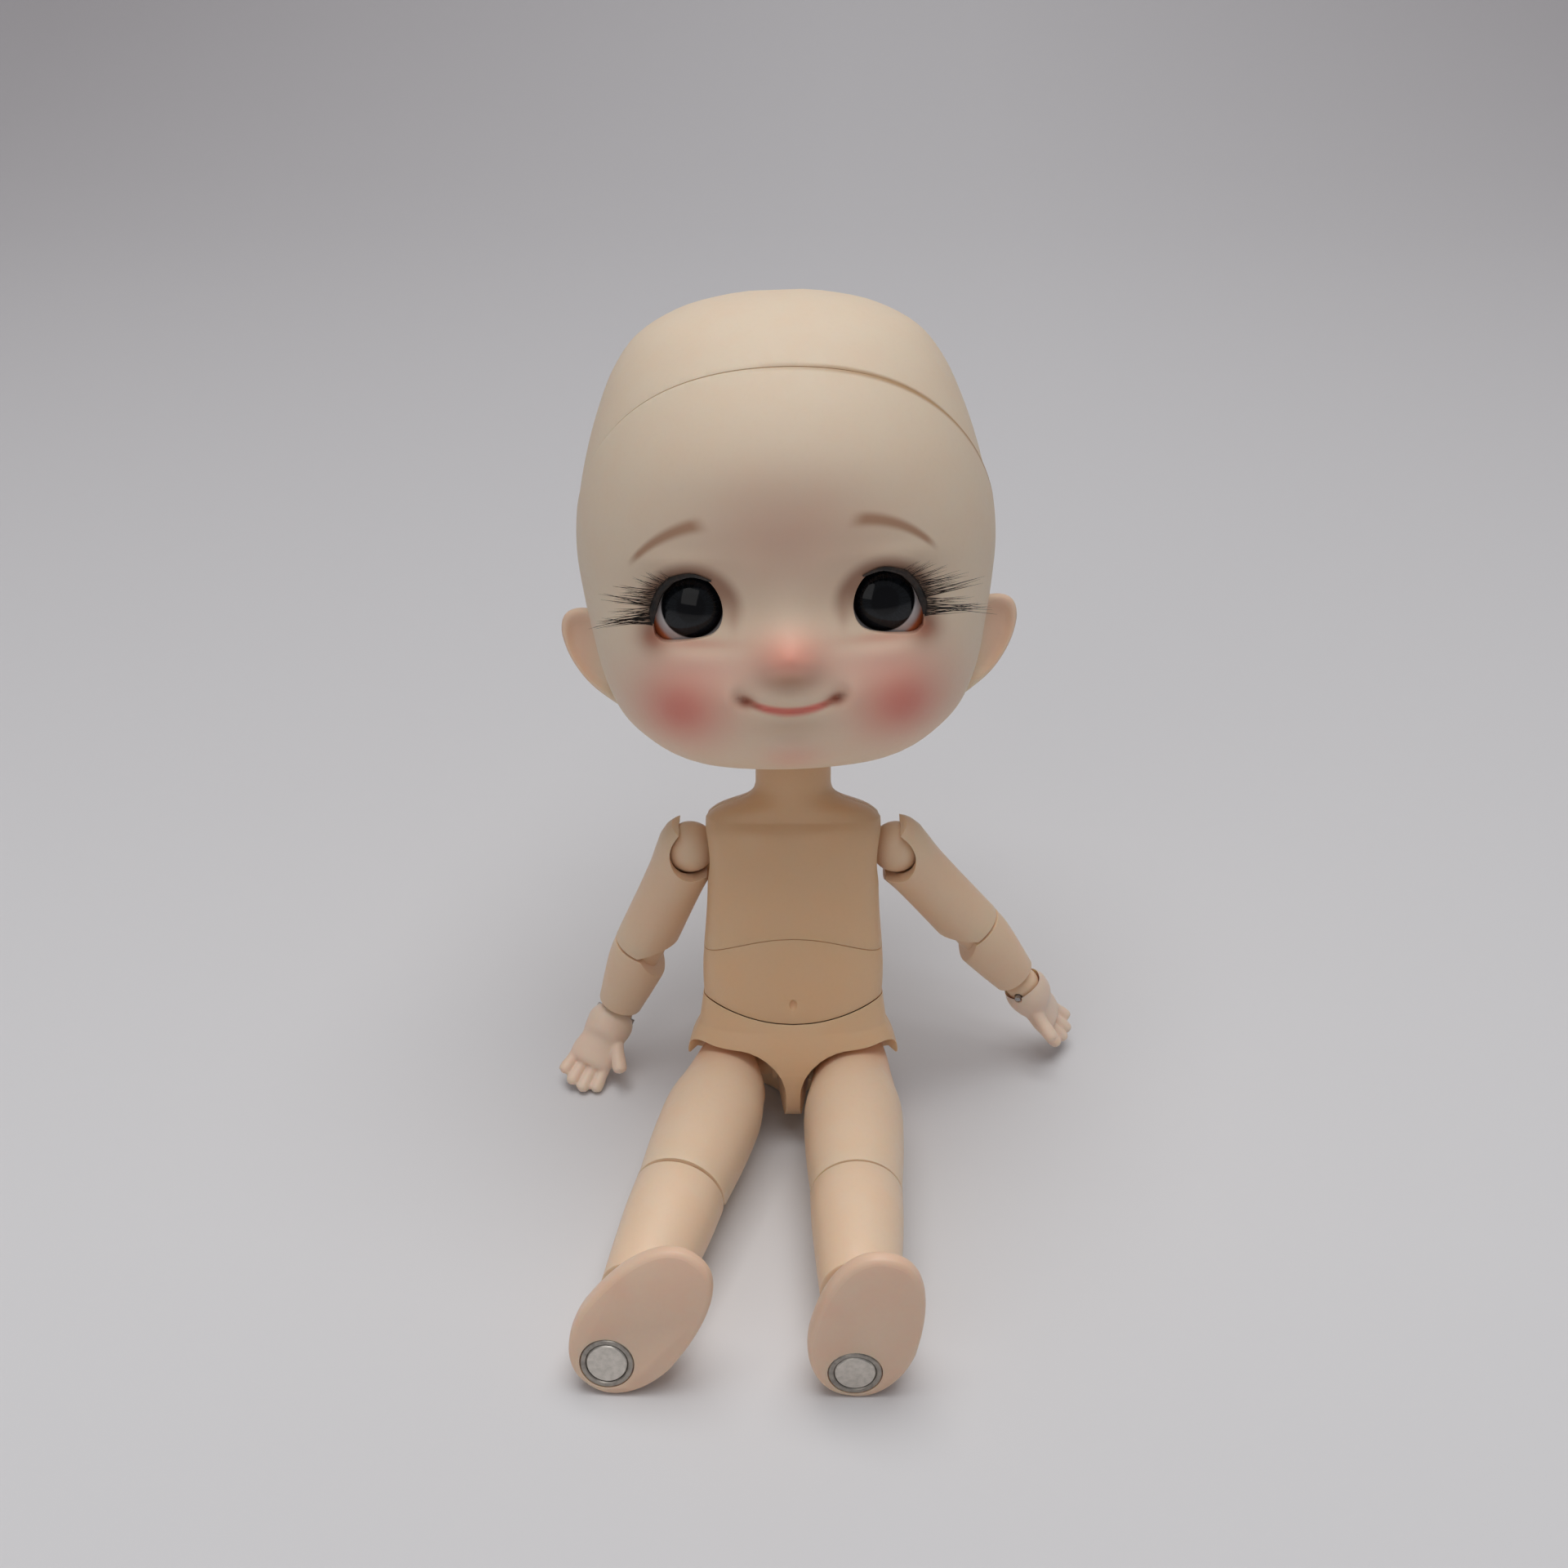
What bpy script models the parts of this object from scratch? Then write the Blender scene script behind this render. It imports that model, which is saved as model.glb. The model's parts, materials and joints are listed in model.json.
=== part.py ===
"""Small ball jointed doll, seated: hollow head with a loose cap, split torso shells, pinned limbs.

Frame: +Z up, the doll faces -Y, its own right side is at -X.
The origin is the middle of the doll's footprint, on the surface that it sits on.
Every limb is drawn hanging straight down from its joint and is then posed by its pivots.
"""
import math

import bpy
import bmesh
from mathutils import Matrix, Vector

mm = 0.001
degree = math.pi / 180.0

# Fits
clearance = 0.3 * mm
ball_clearance = 0.25 * mm
pin_clearance = 0.14 * mm
seam_gap = 0.2 * mm
overrun = 1.5 * mm

# Head
head_width = 42.4 * mm
head_height = 49.0 * mm
head_depth = 42.6 * mm
head_wall = 1.7 * mm
head_over_neck = 0.9 * mm
head_forward = 1.6 * mm
cap_rise = 0.1 * mm
cap_seam = 0.3 * mm
nose_depth = 2.3 * mm
nose_radius = 2.5 * mm
nose_height = 12.7 * mm
cheek_depth = 1.1 * mm
cheek_radius = 5.6 * mm
cheek_spacing = 20.4 * mm
cheek_height = 8.0 * mm
socket_depth = 1.3 * mm
socket_radius = 4.6 * mm
eye_spacing = 18.6 * mm
eye_height = 18.2 * mm
eye_radius = 5.0 * mm
eye_opening_width = 8.0 * mm
eye_opening_height = 7.3 * mm
eye_inset = 0.9 * mm
putty_thickness = 1.6 * mm
eye_turn = 17.0 * degree
lash_length = 3.6 * mm
lash_thickness = 0.35 * mm
lash_stand_off = 0.6 * mm
ear_height = 11.4 * mm
ear_width = 4.0 * mm
ear_root = 3.0 * mm
ear_thickness = 2.2 * mm
ear_place_height = 10.8 * mm
magnet_radius = 1.5 * mm
magnet_thickness = 1.0 * mm
magnet_set_in = 0.6 * mm

# Neck and torso, heights measured along the spine from the crotch
neck_radius = 4.1 * mm
shoulder_line_height = 33.6 * mm
neck_flare_rise = 2.8 * mm
neck_length = 5.2 * mm
neck_base_height = shoulder_line_height + neck_flare_rise
neck_pivot_height = neck_base_height + neck_length
neck_ball_radius = 2.4 * mm
neck_stem_radius = 1.2 * mm
neck_stem_length = 7.4 * mm
neck_plate_radius = 6.4 * mm
neck_plate_thickness = 1.6 * mm
neck_flange_thickness = 1.0 * mm
neck_flange_radius = 2.2 * mm
chest_width = 19.6 * mm
chest_depth = 11.8 * mm
chest_seam_height = 22.1 * mm
chest_seam_drop = 2.8 * mm
abdomen_width = 19.6 * mm
abdomen_depth = 11.6 * mm
pelvis_rim_height = 11.4 * mm
waist_centre_height = 26.4 * mm
pelvis_width = 23.4 * mm
pelvis_depth = 14.0 * mm
pelvis_rim_edge = 0.1 * mm
cleft_width = 1.8 * mm
spine_pin_radius = 1.5 * mm
spine_flange_radius = 2.4 * mm
spine_flange_thickness = 1.0 * mm
spine_pin_low = 16.6 * mm
spine_pin_high = 27.4 * mm
chest_hollow_low = 25.2 * mm
chest_hollow_high = 32.0 * mm
chest_hollow_width = 7.6 * mm
chest_hollow_depth = 6.4 * mm
waist_stem_radius = 0.8 * mm
waist_flange_radius = 1.9 * mm
waist_flange_depth = 1.0 * mm

# Arm
shoulder_width = 22.6 * mm
shoulder_height = 29.8 * mm
shoulder_back = 0.8 * mm
shoulder_ball_radius = 2.8 * mm
shoulder_peg_radius = 1.1 * mm
shoulder_peg_length = 6.8 * mm
shoulder_cup_radius = 3.6 * mm
shoulder_recess_radius = 4.5 * mm
shoulder_cup_lip = 0.5 * mm
shoulder_eye_radius = 1.0 * mm
shoulder_eye_thickness = 1.2 * mm
shoulder_stem_radius = 0.7 * mm
shoulder_stem_length = 6.2 * mm
shoulder_pin_radius = 0.4 * mm
shoulder_pin_length = 4.4 * mm
upper_arm_length = 13.9 * mm
upper_arm_radius = 3.25 * mm
elbow_ball_radius = 2.45 * mm
elbow_radius = 3.3 * mm
elbow_skirt = 0.7 * mm
elbow_pin_radius = 0.4 * mm
elbow_pin_overlap = 0.2 * mm
forearm_length = 11.4 * mm
wrist_radius = 2.5 * mm
wrist_ball_radius = 1.95 * mm
wrist_gap = 1.9 * mm
wrist_peg_radius = 0.7 * mm
wrist_peg_length = 4.6 * mm
wrist_cup_radius = 2.65 * mm
wrist_pin_radius = 0.35 * mm
wrist_pin_overlap = 0.12 * mm
hand_length = 10.0 * mm
palm_width = 4.9 * mm
palm_thickness = 2.7 * mm
finger_radius = 0.72 * mm
thumb_radius = 0.8 * mm

# Leg
hip_width = 13.0 * mm
hip_height = 5.0 * mm
hip_ball_radius = 2.9 * mm
hip_peg_radius = 1.2 * mm
hip_peg_length = 5.0 * mm
hip_cup_radius = 4.1 * mm
hip_cup_lip = 0.8 * mm
hip_pin_radius = 0.45 * mm
hip_pin_overlap = 0.35 * mm
thigh_length = 21.0 * mm
thigh_radius = 5.3 * mm
knee_radius = 4.8 * mm
knee_ball_radius = 3.9 * mm
knee_skirt = 1.0 * mm
knee_pin_radius = 0.5 * mm
knee_pin_overlap = 0.3 * mm
calf_length = 17.5 * mm
calf_radius = 4.7 * mm
ankle_radius = 4.0 * mm
ankle_ball_radius = 2.8 * mm
ankle_gap = 2.2 * mm
ankle_peg_radius = 1.1 * mm
ankle_peg_length = 6.4 * mm
ankle_cup_radius = 4.1 * mm
ankle_pin_radius = 0.45 * mm
ankle_pin_overlap = 0.35 * mm
foot_drop = 5.6 * mm
foot_length = 17.6 * mm
foot_heel_reach = 6.4 * mm
foot_width = 10.6 * mm
heel_magnet_radius = 2.0 * mm
heel_magnet_depth = 1.6 * mm
heel_magnet_back = 3.2 * mm
heel_ring_wall = 0.6 * mm
flange_thickness = 0.8 * mm
flange_overhang = 0.5 * mm

# Seated pose
recline = 18.4 * degree
head_roll = 2.0 * degree
cap_tilt = 46.0 * degree
hinge_bevel = 42.0 * degree
cup_lean = 40.0 * degree
hip_cup_lean = 50.0 * degree
swing_pose = {"right": 21.8 * degree, "left": 25.4 * degree}
raise_pose = {"right": 22.4 * degree, "left": 37.8 * degree}
arm_twist_pose = {"right": 75.0 * degree, "left": 75.0 * degree}
elbow_pose = {"right": 2.6 * degree, "left": 2.4 * degree}
wrist_turn_pose = {"right": -94.0 * degree, "left": 145.0 * degree}
wrist_bend_pose = {"right": -44.5 * degree, "left": 3.0 * degree}
hip_swing_pose = {"right": -70.05 * degree, "left": -71.15 * degree}
hip_spread_pose = {"right": 14.0 * degree, "left": 0.0}
knee_pose = {"right": 2.0 * degree, "left": 0.0}
ankle_turn_pose = {"right": 35.0 * degree, "left": 12.0 * degree}
ankle_pitch_pose = {"right": -18.0 * degree, "left": 0.0}

# Travel that the openings leave room for
raise_travel = (10.0 * degree, 85.0 * degree)
nod_travel = 14.0 * degree
waist_travel = 8.0 * degree
thigh_swing_travel = (-75.0 * degree, 22.0 * degree)
thigh_spread_travel = (-4.0 * degree, 40.0 * degree)

weld = 0.002 * mm
flat_angle = 0.05 * degree
side_sign = {"right": -1.0, "left": 1.0}
fine_segments = 16
small_segments = 12
pin_segments = 8

for old in list(bpy.data.objects):
    bpy.data.objects.remove(old, do_unlink=True)


# Materials
def paint(name, colour, roughness, metallic=0.0):
    material = bpy.data.materials.new(name)
    material.use_nodes = True
    shader = material.node_tree.nodes["Principled BSDF"]
    shader.inputs["Base Color"].default_value = (*colour, 1.0)
    shader.inputs["Roughness"].default_value = roughness
    shader.inputs["Metallic"].default_value = metallic
    return material


head_resin = paint("head_resin", (0.80, 0.68, 0.52), 0.6)
body_plastic = paint("body_plastic", (0.76, 0.60, 0.45), 0.4)
hand_plastic = paint("hand_plastic", (0.80, 0.64, 0.54), 0.5)
joint_plastic = paint("joint_plastic", (0.72, 0.56, 0.42), 0.45)
eye_acrylic = paint("eye_acrylic", (0.02, 0.02, 0.025), 0.08)
lash_hair = paint("lash_hair", (0.03, 0.02, 0.02), 0.7)
putty_clay = paint("putty_clay", (0.75, 0.72, 0.66), 0.8)
pin_steel = paint("pin_steel", (0.6, 0.6, 0.6), 0.3, 1.0)
magnet_nickel = paint("magnet_nickel", (0.55, 0.55, 0.53), 0.4, 0.9)


# Mesh building
def skin(rings, closed=False):
    """Closed mesh through rings of points; a ring of one point is a pole, open ends get a middle point."""
    form = bmesh.new()
    if not closed:
        ends = [rings[0], rings[-1]]
        poles = [[sum(ring, Vector()) / len(ring)] if len(ring) > 1 else None for ring in ends]
        rings = ([poles[0]] if poles[0] else []) + list(rings) + ([poles[1]] if poles[1] else [])
    rows = [[form.verts.new(point) for point in ring] for ring in rings]
    following = rows[1:] + ([rows[0]] if closed else [])
    for row, after in zip(rows, following):
        count = max(len(row), len(after))
        for step in range(count):
            ahead = (step + 1) % count
            if len(row) == 1:
                form.faces.new((row[0], after[step], after[ahead]))
            elif len(after) == 1:
                form.faces.new((row[step], row[ahead], after[0]))
            else:
                form.faces.new((row[step], row[ahead], after[ahead], after[step]))
    bmesh.ops.recalc_face_normals(form, faces=form.faces)
    mesh = bpy.data.meshes.new("form")
    form.to_mesh(mesh)
    form.free()
    return mesh


def lathe(profile, segments=fine_segments, closed=False):
    """Turned solid about Z from (radius, height) pairs."""
    rings = []
    for radius, height in profile:
        if radius == 0.0:
            rings.append([Vector((0.0, 0.0, height))])
            continue
        angles = [math.tau * step / segments for step in range(segments)]
        rings.append([Vector((radius * math.cos(a), radius * math.sin(a), height)) for a in angles])
    return skin(rings, closed)


def ball(radius, segments=fine_segments, bands=8):
    arc = [math.pi * band / bands for band in range(bands + 1)]
    profile = [(radius * math.sin(a), -radius * math.cos(a)) for a in arc]
    profile[0], profile[-1] = (0.0, -radius), (0.0, radius)
    return lathe(profile, segments)


def knob(radius, stem, segments=small_segments, bands=8):
    """Ball with a stem on top, turned in one piece; the stem is a profile that starts at the ball's centre."""
    meet = math.asin(stem[0][0] / radius)
    arc = [(math.pi - meet) * band / (bands - 1) for band in range(bands)]
    profile = [(0.0, -radius)] + [(radius * math.sin(a), -radius * math.cos(a)) for a in arc[1:]]
    return lathe(profile + stem[1:], segments)


def rod(radius, low, high, segments=small_segments):
    return lathe([(radius, low), (radius, high)], segments)


def prism(outline, thickness):
    """Outline of (y, z) pairs, extruded along X about the middle."""
    half = 0.5 * thickness
    return skin([[Vector((x, y, z)) for y, z in outline] for x in (-half, half)])


def moved(mesh, *matrices):
    copy = mesh.copy()
    for matrix in matrices:
        copy.transform(matrix)
    return copy


def shift(x=0.0, y=0.0, z=0.0):
    return Matrix.Translation((x, y, z))


def turn(angle, axis):
    return Matrix.Rotation(angle, 4, axis)


def in_triangles(mesh):
    form = bmesh.new()
    form.from_mesh(mesh)
    bmesh.ops.triangulate(form, faces=form.faces)
    copy = bpy.data.meshes.new("form")
    form.to_mesh(copy)
    form.free()
    return copy


def cleaned(mesh):
    """Weld doubled points and merge flat neighbours, as far as the surface stays closed."""
    for flatten_too in (True, False):
        form = bmesh.new()
        form.from_mesh(mesh)
        bmesh.ops.remove_doubles(form, verts=form.verts, dist=weld)
        bmesh.ops.dissolve_degenerate(form, edges=form.edges, dist=weld)
        if flatten_too:
            bmesh.ops.dissolve_limit(form, angle_limit=flat_angle, verts=form.verts, edges=form.edges)
        closed = all(len(edge.link_faces) == 2 for edge in form.edges)
        if closed:
            form.to_mesh(mesh)
        form.free()
        if closed:
            break
    return mesh


def combined(base, other, operation):
    first, second = (bpy.data.objects.new("boolean", in_triangles(mesh)) for mesh in (base, other))
    for item in (first, second):
        bpy.context.scene.collection.objects.link(item)
    modifier = first.modifiers.new("boolean", "BOOLEAN")
    modifier.operation = operation
    modifier.solver = "EXACT"
    modifier.object = second
    seen = first.evaluated_get(bpy.context.evaluated_depsgraph_get())
    result = bpy.data.meshes.new_from_object(seen)
    for item in (first, second):
        bpy.data.objects.remove(item, do_unlink=True)
    return cleaned(result)


def cut(base, *tools):
    for tool in tools:
        base = combined(base, tool, "DIFFERENCE")
    return base


def joined(base, *others):
    for other in others:
        base = combined(base, other, "UNION")
    return base


def block(x, y, z):
    """Box between the given (low, high) pairs."""
    return skin([[Vector((a, b, c)) for a, b in ((x[0], y[0]), (x[1], y[0]), (x[1], y[1]), (x[0], y[1]))]
                 for c in z])


def beyond(normal, offset, reach):
    """Large block that fills the side of a plane which the normal points to."""
    facing = Vector(normal).normalized().to_track_quat("Z", "Y").to_matrix().to_4x4()
    box = block((-reach, reach), (-reach, reach), (offset, offset + reach))
    return moved(box, facing)


def sector(low, high, half_width, reach, thickness):
    """Slot tool about X: a stem of the half width that hangs down and swings from low to high."""
    def along(angle):
        return Vector((math.sin(angle), -math.cos(angle)))

    def across(angle):
        return Vector((math.cos(angle), math.sin(angle)))

    steps = max(1, round((high - low) / (20.0 * degree)))
    arc = [along(low + (high - low) * step / steps) * reach for step in range(steps + 1)]
    outline = [-across(low) * half_width, arc[0] - across(low) * half_width, *arc,
               arc[-1] + across(high) * half_width, across(high) * half_width]
    middle = 0.5 * (low + high)
    if high - low > 2.0 * degree:
        outline.append(-along(middle) * half_width * 0.5)
    return prism([(point.x, point.y) for point in outline], thickness)


def grown(profile, gap):
    """Turned profile with a gap added all round, for the bore that takes it."""
    low, high = profile[0][1], profile[-1][1]
    rising = high > low
    result = []
    for index, (radius, height) in enumerate(profile):
        at_start = height == low
        move = -gap if at_start == rising else gap
        if height not in (low, high):
            before = profile[index - 1][0]
            after = profile[index + 1][0] if index + 1 < len(profile) else radius
            narrows = after < before
            move = (gap if narrows else -gap) * (1.0 if rising else -1.0)
        result.append((radius + gap, height + move))
    return result


def outline(width, front, back, power, count, middle=0.0):
    """Rounded box outline about the spine: half width, reach to the front, reach to the back."""
    points = []
    for step in range(count):
        angle = math.tau * step / count
        side, deep = math.cos(angle), math.sin(angle)
        x = math.copysign(abs(side) ** (2.0 / power), side) * width
        y = math.copysign(abs(deep) ** (2.0 / power), deep) * (back if deep > 0.0 else front)
        points.append(Vector((x, y + middle, 0.0)))
    return points


along_x = turn(0.5 * math.pi, "Y")
along_y = turn(-0.5 * math.pi, "X")


# Pivots and pieces
def pivot(name, parent, place, angle=0.0, axis="X"):
    empty = bpy.data.objects.new(name, None)
    bpy.context.scene.collection.objects.link(empty)
    empty.parent = parent
    empty.location = place
    setattr(empty.rotation_euler, axis.lower(), angle)
    return empty


def piece(name, mesh, parent, material, flat=False):
    mesh.name = name
    mesh.materials.clear()
    mesh.materials.append(material)
    if not flat:
        mesh.shade_smooth()
        mesh.set_sharp_from_angle(angle=40.0 * degree)
    item = bpy.data.objects.new(name, mesh)
    bpy.context.scene.collection.objects.link(item)
    item.parent = parent
    return item


def peg(radius, start, end):
    """Peg profile with a retaining flange at its end; it runs from start to end along Z."""
    way = 1.0 if end > start else -1.0
    neck = end - way * flange_thickness
    return [(radius, start), (radius, neck), (radius + flange_overhang, neck), (radius + flange_overhang, end)]


def hinge_pin(radius, half_length):
    return moved(rod(radius, -half_length, half_length, pin_segments), along_x)


# Torso outlines
chest_shares = [
    # height between seam and shoulder line, half width, half depth
    (0.00, 1.000, 0.985), (0.30, 0.965, 1.000), (0.60, 0.955, 1.010), (0.88, 0.985, 0.960), (1.00, 0.970, 0.800)]
neck_shares = [
    # height between shoulder line and neck base, neck radius over half chest width
    (0.35, 0.76, 0.70), (0.72, 0.26, 0.30), (1.00, 0.06, 0.08)]
pelvis_shares = [
    # height over the rim height, half width, front reach, back reach
    (0.00, 0.30, 0.30, 0.76), (0.04, 0.50, 0.52, 1.12), (0.16, 0.74, 0.80, 1.23), (0.40, 0.94, 0.93, 1.16),
    (0.66, 1.00, 0.97, 1.04), (0.84, 0.93, 0.91, 0.95)]
cleft_share = 0.12
torso_power = 3.2
torso_segments = 28


def seam_height(point):
    """The chest seam falls away from the spine evenly, so that the chest can turn on the abdomen."""
    spread = (point.x ** 2 + point.y ** 2) / (0.5 * chest_width) ** 2
    return chest_seam_height - chest_seam_drop * spread


def waist_radius():
    """The pelvis is hollowed to a sphere about a point in the chest, and the abdomen slides in it."""
    return math.hypot(0.5 * abdomen_depth, waist_centre_height - pelvis_rim_height)


def waist_height(point, lift):
    radius = waist_radius() - lift
    return waist_centre_height - math.sqrt(radius ** 2 - point.x ** 2 - point.y ** 2)


def waist_rings(wide, deep, lift):
    """Rim, two rings and a pole along the waist sphere."""
    rings = []
    for share in (1.0, 0.68, 0.34):
        ring = outline(wide * share, deep * share, deep * share, torso_power, torso_segments)
        for point in ring:
            point.z = waist_height(point, lift)
        rings.append(ring)
    rings.append([Vector((0.0, 0.0, waist_height(Vector(), lift)))])
    return rings


def track(inner, outer, travel, half_width, thickness):
    """Curved slot about the waist's middle point: it lets a part of the half width slide by the travel."""
    def reach(radius, angle):
        return (radius * math.sin(angle), -radius * math.cos(angle))

    end = travel + math.asin(half_width / inner)
    angles = [end * share for share in (-1.0, -0.5, 0.0, 0.5, 1.0)]
    form = prism([reach(inner, a) for a in angles] + [reach(outer, a) for a in reversed(angles)], thickness)
    return moved(form, shift(z=waist_centre_height))


def bowl(reach, inset, lift, power=torso_power):
    """Three rings and a pole that close a form along the chest seam surface."""
    rings = []
    for share in (1.0, 0.8, 0.45):
        ring = outline((reach[0] - inset) * share, (reach[1] - inset) * share, (reach[1] - inset) * share,
                       power, torso_segments)
        for point in ring:
            point.z = seam_height(point) + lift
        rings.append(ring)
    rings.append([Vector((0.0, 0.0, seam_height(Vector()) + lift))])
    return rings


def halves(name, mesh, parent, reach):
    """Front and back shell of a form that is split across its widest line."""
    half = 0.5 * seam_gap
    front = cut(mesh.copy(), block((-reach, reach), (-half, reach), (-reach, 3.0 * reach)))
    back = cut(mesh.copy(), block((-reach, reach), (-reach, half), (-reach, 3.0 * reach)))
    piece(name + "_front", front, parent, body_plastic)
    piece(name + "_back", back, parent, body_plastic)


thigh_shares = [
    # way down the thigh, radius
    (0.00, 0.775), (0.14, 0.835), (0.26, 0.90), (0.42, 1.00), (0.62, 1.00), (0.80, 0.965), (1.00, 0.905)]
upper_arm_shares = [
    (0.00, 1.105), (0.14, 1.06), (0.30, 1.01), (0.60, 1.00), (1.00, 1.015)]

# Pelvis
seat = pivot("seat", None, (0.0, 0.0, 0.0), -recline)


def pelvis_form():
    half, deep = 0.5 * pelvis_width, 0.5 * pelvis_depth
    rings = []
    for height, wide, front, back in pelvis_shares:
        ring = outline(half * wide, deep * front, deep * back, 2.6, torso_segments)
        for point in ring:
            point.z = height * pelvis_rim_height
            if point.y > 0.0:
                point.y *= 1.0 - cleft_share * (1.0 - height) * math.exp(-(point.x / cleft_width) ** 2)
        rings.append(ring)
    wide, depth = 0.5 * abdomen_width + pelvis_rim_edge, 0.5 * abdomen_depth + pelvis_rim_edge
    return skin(rings + waist_rings(wide, depth, 0.0))


def thigh_way(side):
    """Space that the thigh takes as it swings, as a tool for the pelvis.

    Every point of the swept space is seen from the hip's middle, so one distance for each direction is enough.
    """
    low, high = thigh_swing_travel
    start = hip_cup_radius + clearance
    profile = [(start, 0.0)]
    profile += [(thigh_radius * wide + clearance, thigh_length * way) for way, wide in thigh_shares[1:5]]

    def reach(across, down):
        if down <= 0.0:
            return start
        for (radius, drop), (next_radius, next_drop) in zip(profile, profile[1:]):
            slope = (next_radius - radius) / (next_drop - drop)
            if across > slope * down:
                distance = (radius - slope * drop) / (across - slope * down)
                if drop <= distance * down <= next_drop:
                    return distance
        return profile[-1][1] / down

    def seen_along(aside, ahead, down):
        """Distance across and down the thigh for a direction, with the thigh spread to meet it best."""
        out = side_sign[side] * aside
        spread = min(max(math.atan2(out, down), thigh_spread_travel[0]), thigh_spread_travel[1])
        across = out * math.cos(spread) - down * math.sin(spread)
        return math.hypot(across, ahead), down * math.cos(spread) + out * math.sin(spread)

    quarter = 0.5 * math.pi
    stations = [low - quarter + quarter * step / 4 for step in range(4)]
    stations += [low + (high - low) * step / 6 for step in range(6)]
    stations += [high + quarter * step / 4 for step in range(5)]
    rest = math.tau - (high - low) - 2.0 * quarter
    stations += [high + quarter + rest * step / 3 for step in (1, 2)]
    rings = [[Vector((-reach(*seen_along(-1.0, 0.0, 0.0)), 0.0, 0.0))]]
    for tilt in (-66, -50, -38, -29, -16, 0, 16, 29, 38, 50, 66):
        aside, level = math.sin(tilt * degree), math.cos(tilt * degree)
        ring = []
        for angle in stations:
            offset = angle - min(max(angle, low), high)
            far = reach(*seen_along(aside, level * math.sin(offset), level * math.cos(offset)))
            ring.append(Vector((aside, level * math.sin(angle), -level * math.cos(angle))) * far)
        rings.append(ring)
    rings.append([Vector((reach(*seen_along(1.0, 0.0, 0.0)), 0.0, 0.0))])
    return moved(skin(rings), shift(side_sign[side] * 0.5 * hip_width, 0.0, hip_height))


pelvis = pelvis_form()
for side, sign in side_sign.items():
    bore = lathe(grown(peg(hip_peg_radius, 0.0, hip_peg_length), clearance), small_segments)
    bore = moved(bore, turn(-sign * 0.5 * math.pi, "Y"), shift(sign * 0.5 * hip_width, 0.0, hip_height))
    pelvis = cut(pelvis, thigh_way(side), bore)
stem_room, flange_room = waist_stem_radius + clearance, waist_flange_radius + clearance
skin_radius = waist_radius()
low_flange = skin_radius + waist_flange_depth
high_flange = skin_radius - clearance - waist_flange_depth + 2.0 * clearance
pelvis = cut(pelvis, track(skin_radius - overrun, low_flange + clearance, waist_travel, stem_room, 2.0 * stem_room),
             track(low_flange, low_flange + flange_thickness + 2.0 * clearance, waist_travel, flange_room,
                   2.0 * flange_room))
halves("pelvis", pelvis, seat, pelvis_width)

# Waist link: a stud with two flanges, one in a slot of the pelvis and one in a slot of the abdomen
lean = pivot("waist_lean", seat, (0.0, 0.0, waist_centre_height))
foot_level = -(low_flange + clearance + flange_thickness)
head_level = -(high_flange - clearance - flange_thickness)
link = lathe([(waist_flange_radius, foot_level), (waist_flange_radius, foot_level + flange_thickness),
              (waist_stem_radius, foot_level + flange_thickness), (waist_stem_radius, head_level - flange_thickness),
              (waist_flange_radius, head_level - flange_thickness), (waist_flange_radius, head_level)], small_segments)
piece("waist_link", link, lean, joint_plastic)
sway = pivot("waist_sway", lean, (0.0, 0.0, 0.0))


# Abdomen
def abdomen_form():
    wide, deep = 0.5 * abdomen_width, 0.5 * abdomen_depth
    rings = list(reversed(waist_rings(wide, deep, clearance)))
    return skin(rings + bowl((wide, deep), 0.0, -clearance))


abdomen = abdomen_form()
pin_flange_room = rod(spine_flange_radius + clearance, spine_pin_low - clearance,
                      spine_pin_low + spine_flange_thickness + clearance)
pin_room = rod(spine_pin_radius + clearance, spine_pin_low, chest_seam_height + overrun)
cross = turn(0.5 * math.pi, "Z")
abdomen = cut(abdomen, pin_flange_room, pin_room,
              moved(track(high_flange - clearance, skin_radius + overrun, waist_travel, stem_room, 2.0 * stem_room),
                    cross),
              moved(track(high_flange - flange_thickness - 2.0 * clearance, high_flange, waist_travel, flange_room,
                          2.0 * flange_room), cross))
abdomen = moved(abdomen, shift(z=-waist_centre_height))
halves("abdomen", abdomen, sway, abdomen_width)

# Chest with the neck, and the pin that it turns on
twist = pivot("chest_turn", sway, (0.0, 0.0, chest_seam_height - waist_centre_height), 0.0, "Z")


def chest_form():
    half, deep = 0.5 * chest_width, 0.5 * chest_depth
    rings = list(reversed(bowl((half * chest_shares[0][1], deep * chest_shares[0][2]), 0.0, 0.0)))
    for height, wide, depth in chest_shares[1:]:
        ring = outline(half * wide, deep * depth, deep * depth, torso_power, torso_segments)
        for point in ring:
            base = seam_height(point)
            point.z = base + (shoulder_line_height - base) * height
        rings.append(ring)
    for height, wide, depth in neck_shares:
        span, reach = half * chest_shares[-1][1] - neck_radius, deep * chest_shares[-1][2] - neck_radius
        power = 2.0 + (torso_power - 2.0) * wide
        ring = outline(neck_radius + span * wide, neck_radius + reach * depth, neck_radius + reach * depth,
                       power, torso_segments)
        for point in ring:
            point.z = shoulder_line_height + (neck_base_height - shoulder_line_height) * height
        rings.append(ring)
    for angle in (0.0, 25.0 * degree, 50.0 * degree, 72.0 * degree):
        radius = neck_radius * math.cos(angle)
        ring = outline(radius, radius, radius, 2.0, torso_segments)
        for point in ring:
            point.z = neck_pivot_height + neck_radius * math.sin(angle)
        rings.append(ring)
    return skin(rings)


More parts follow.
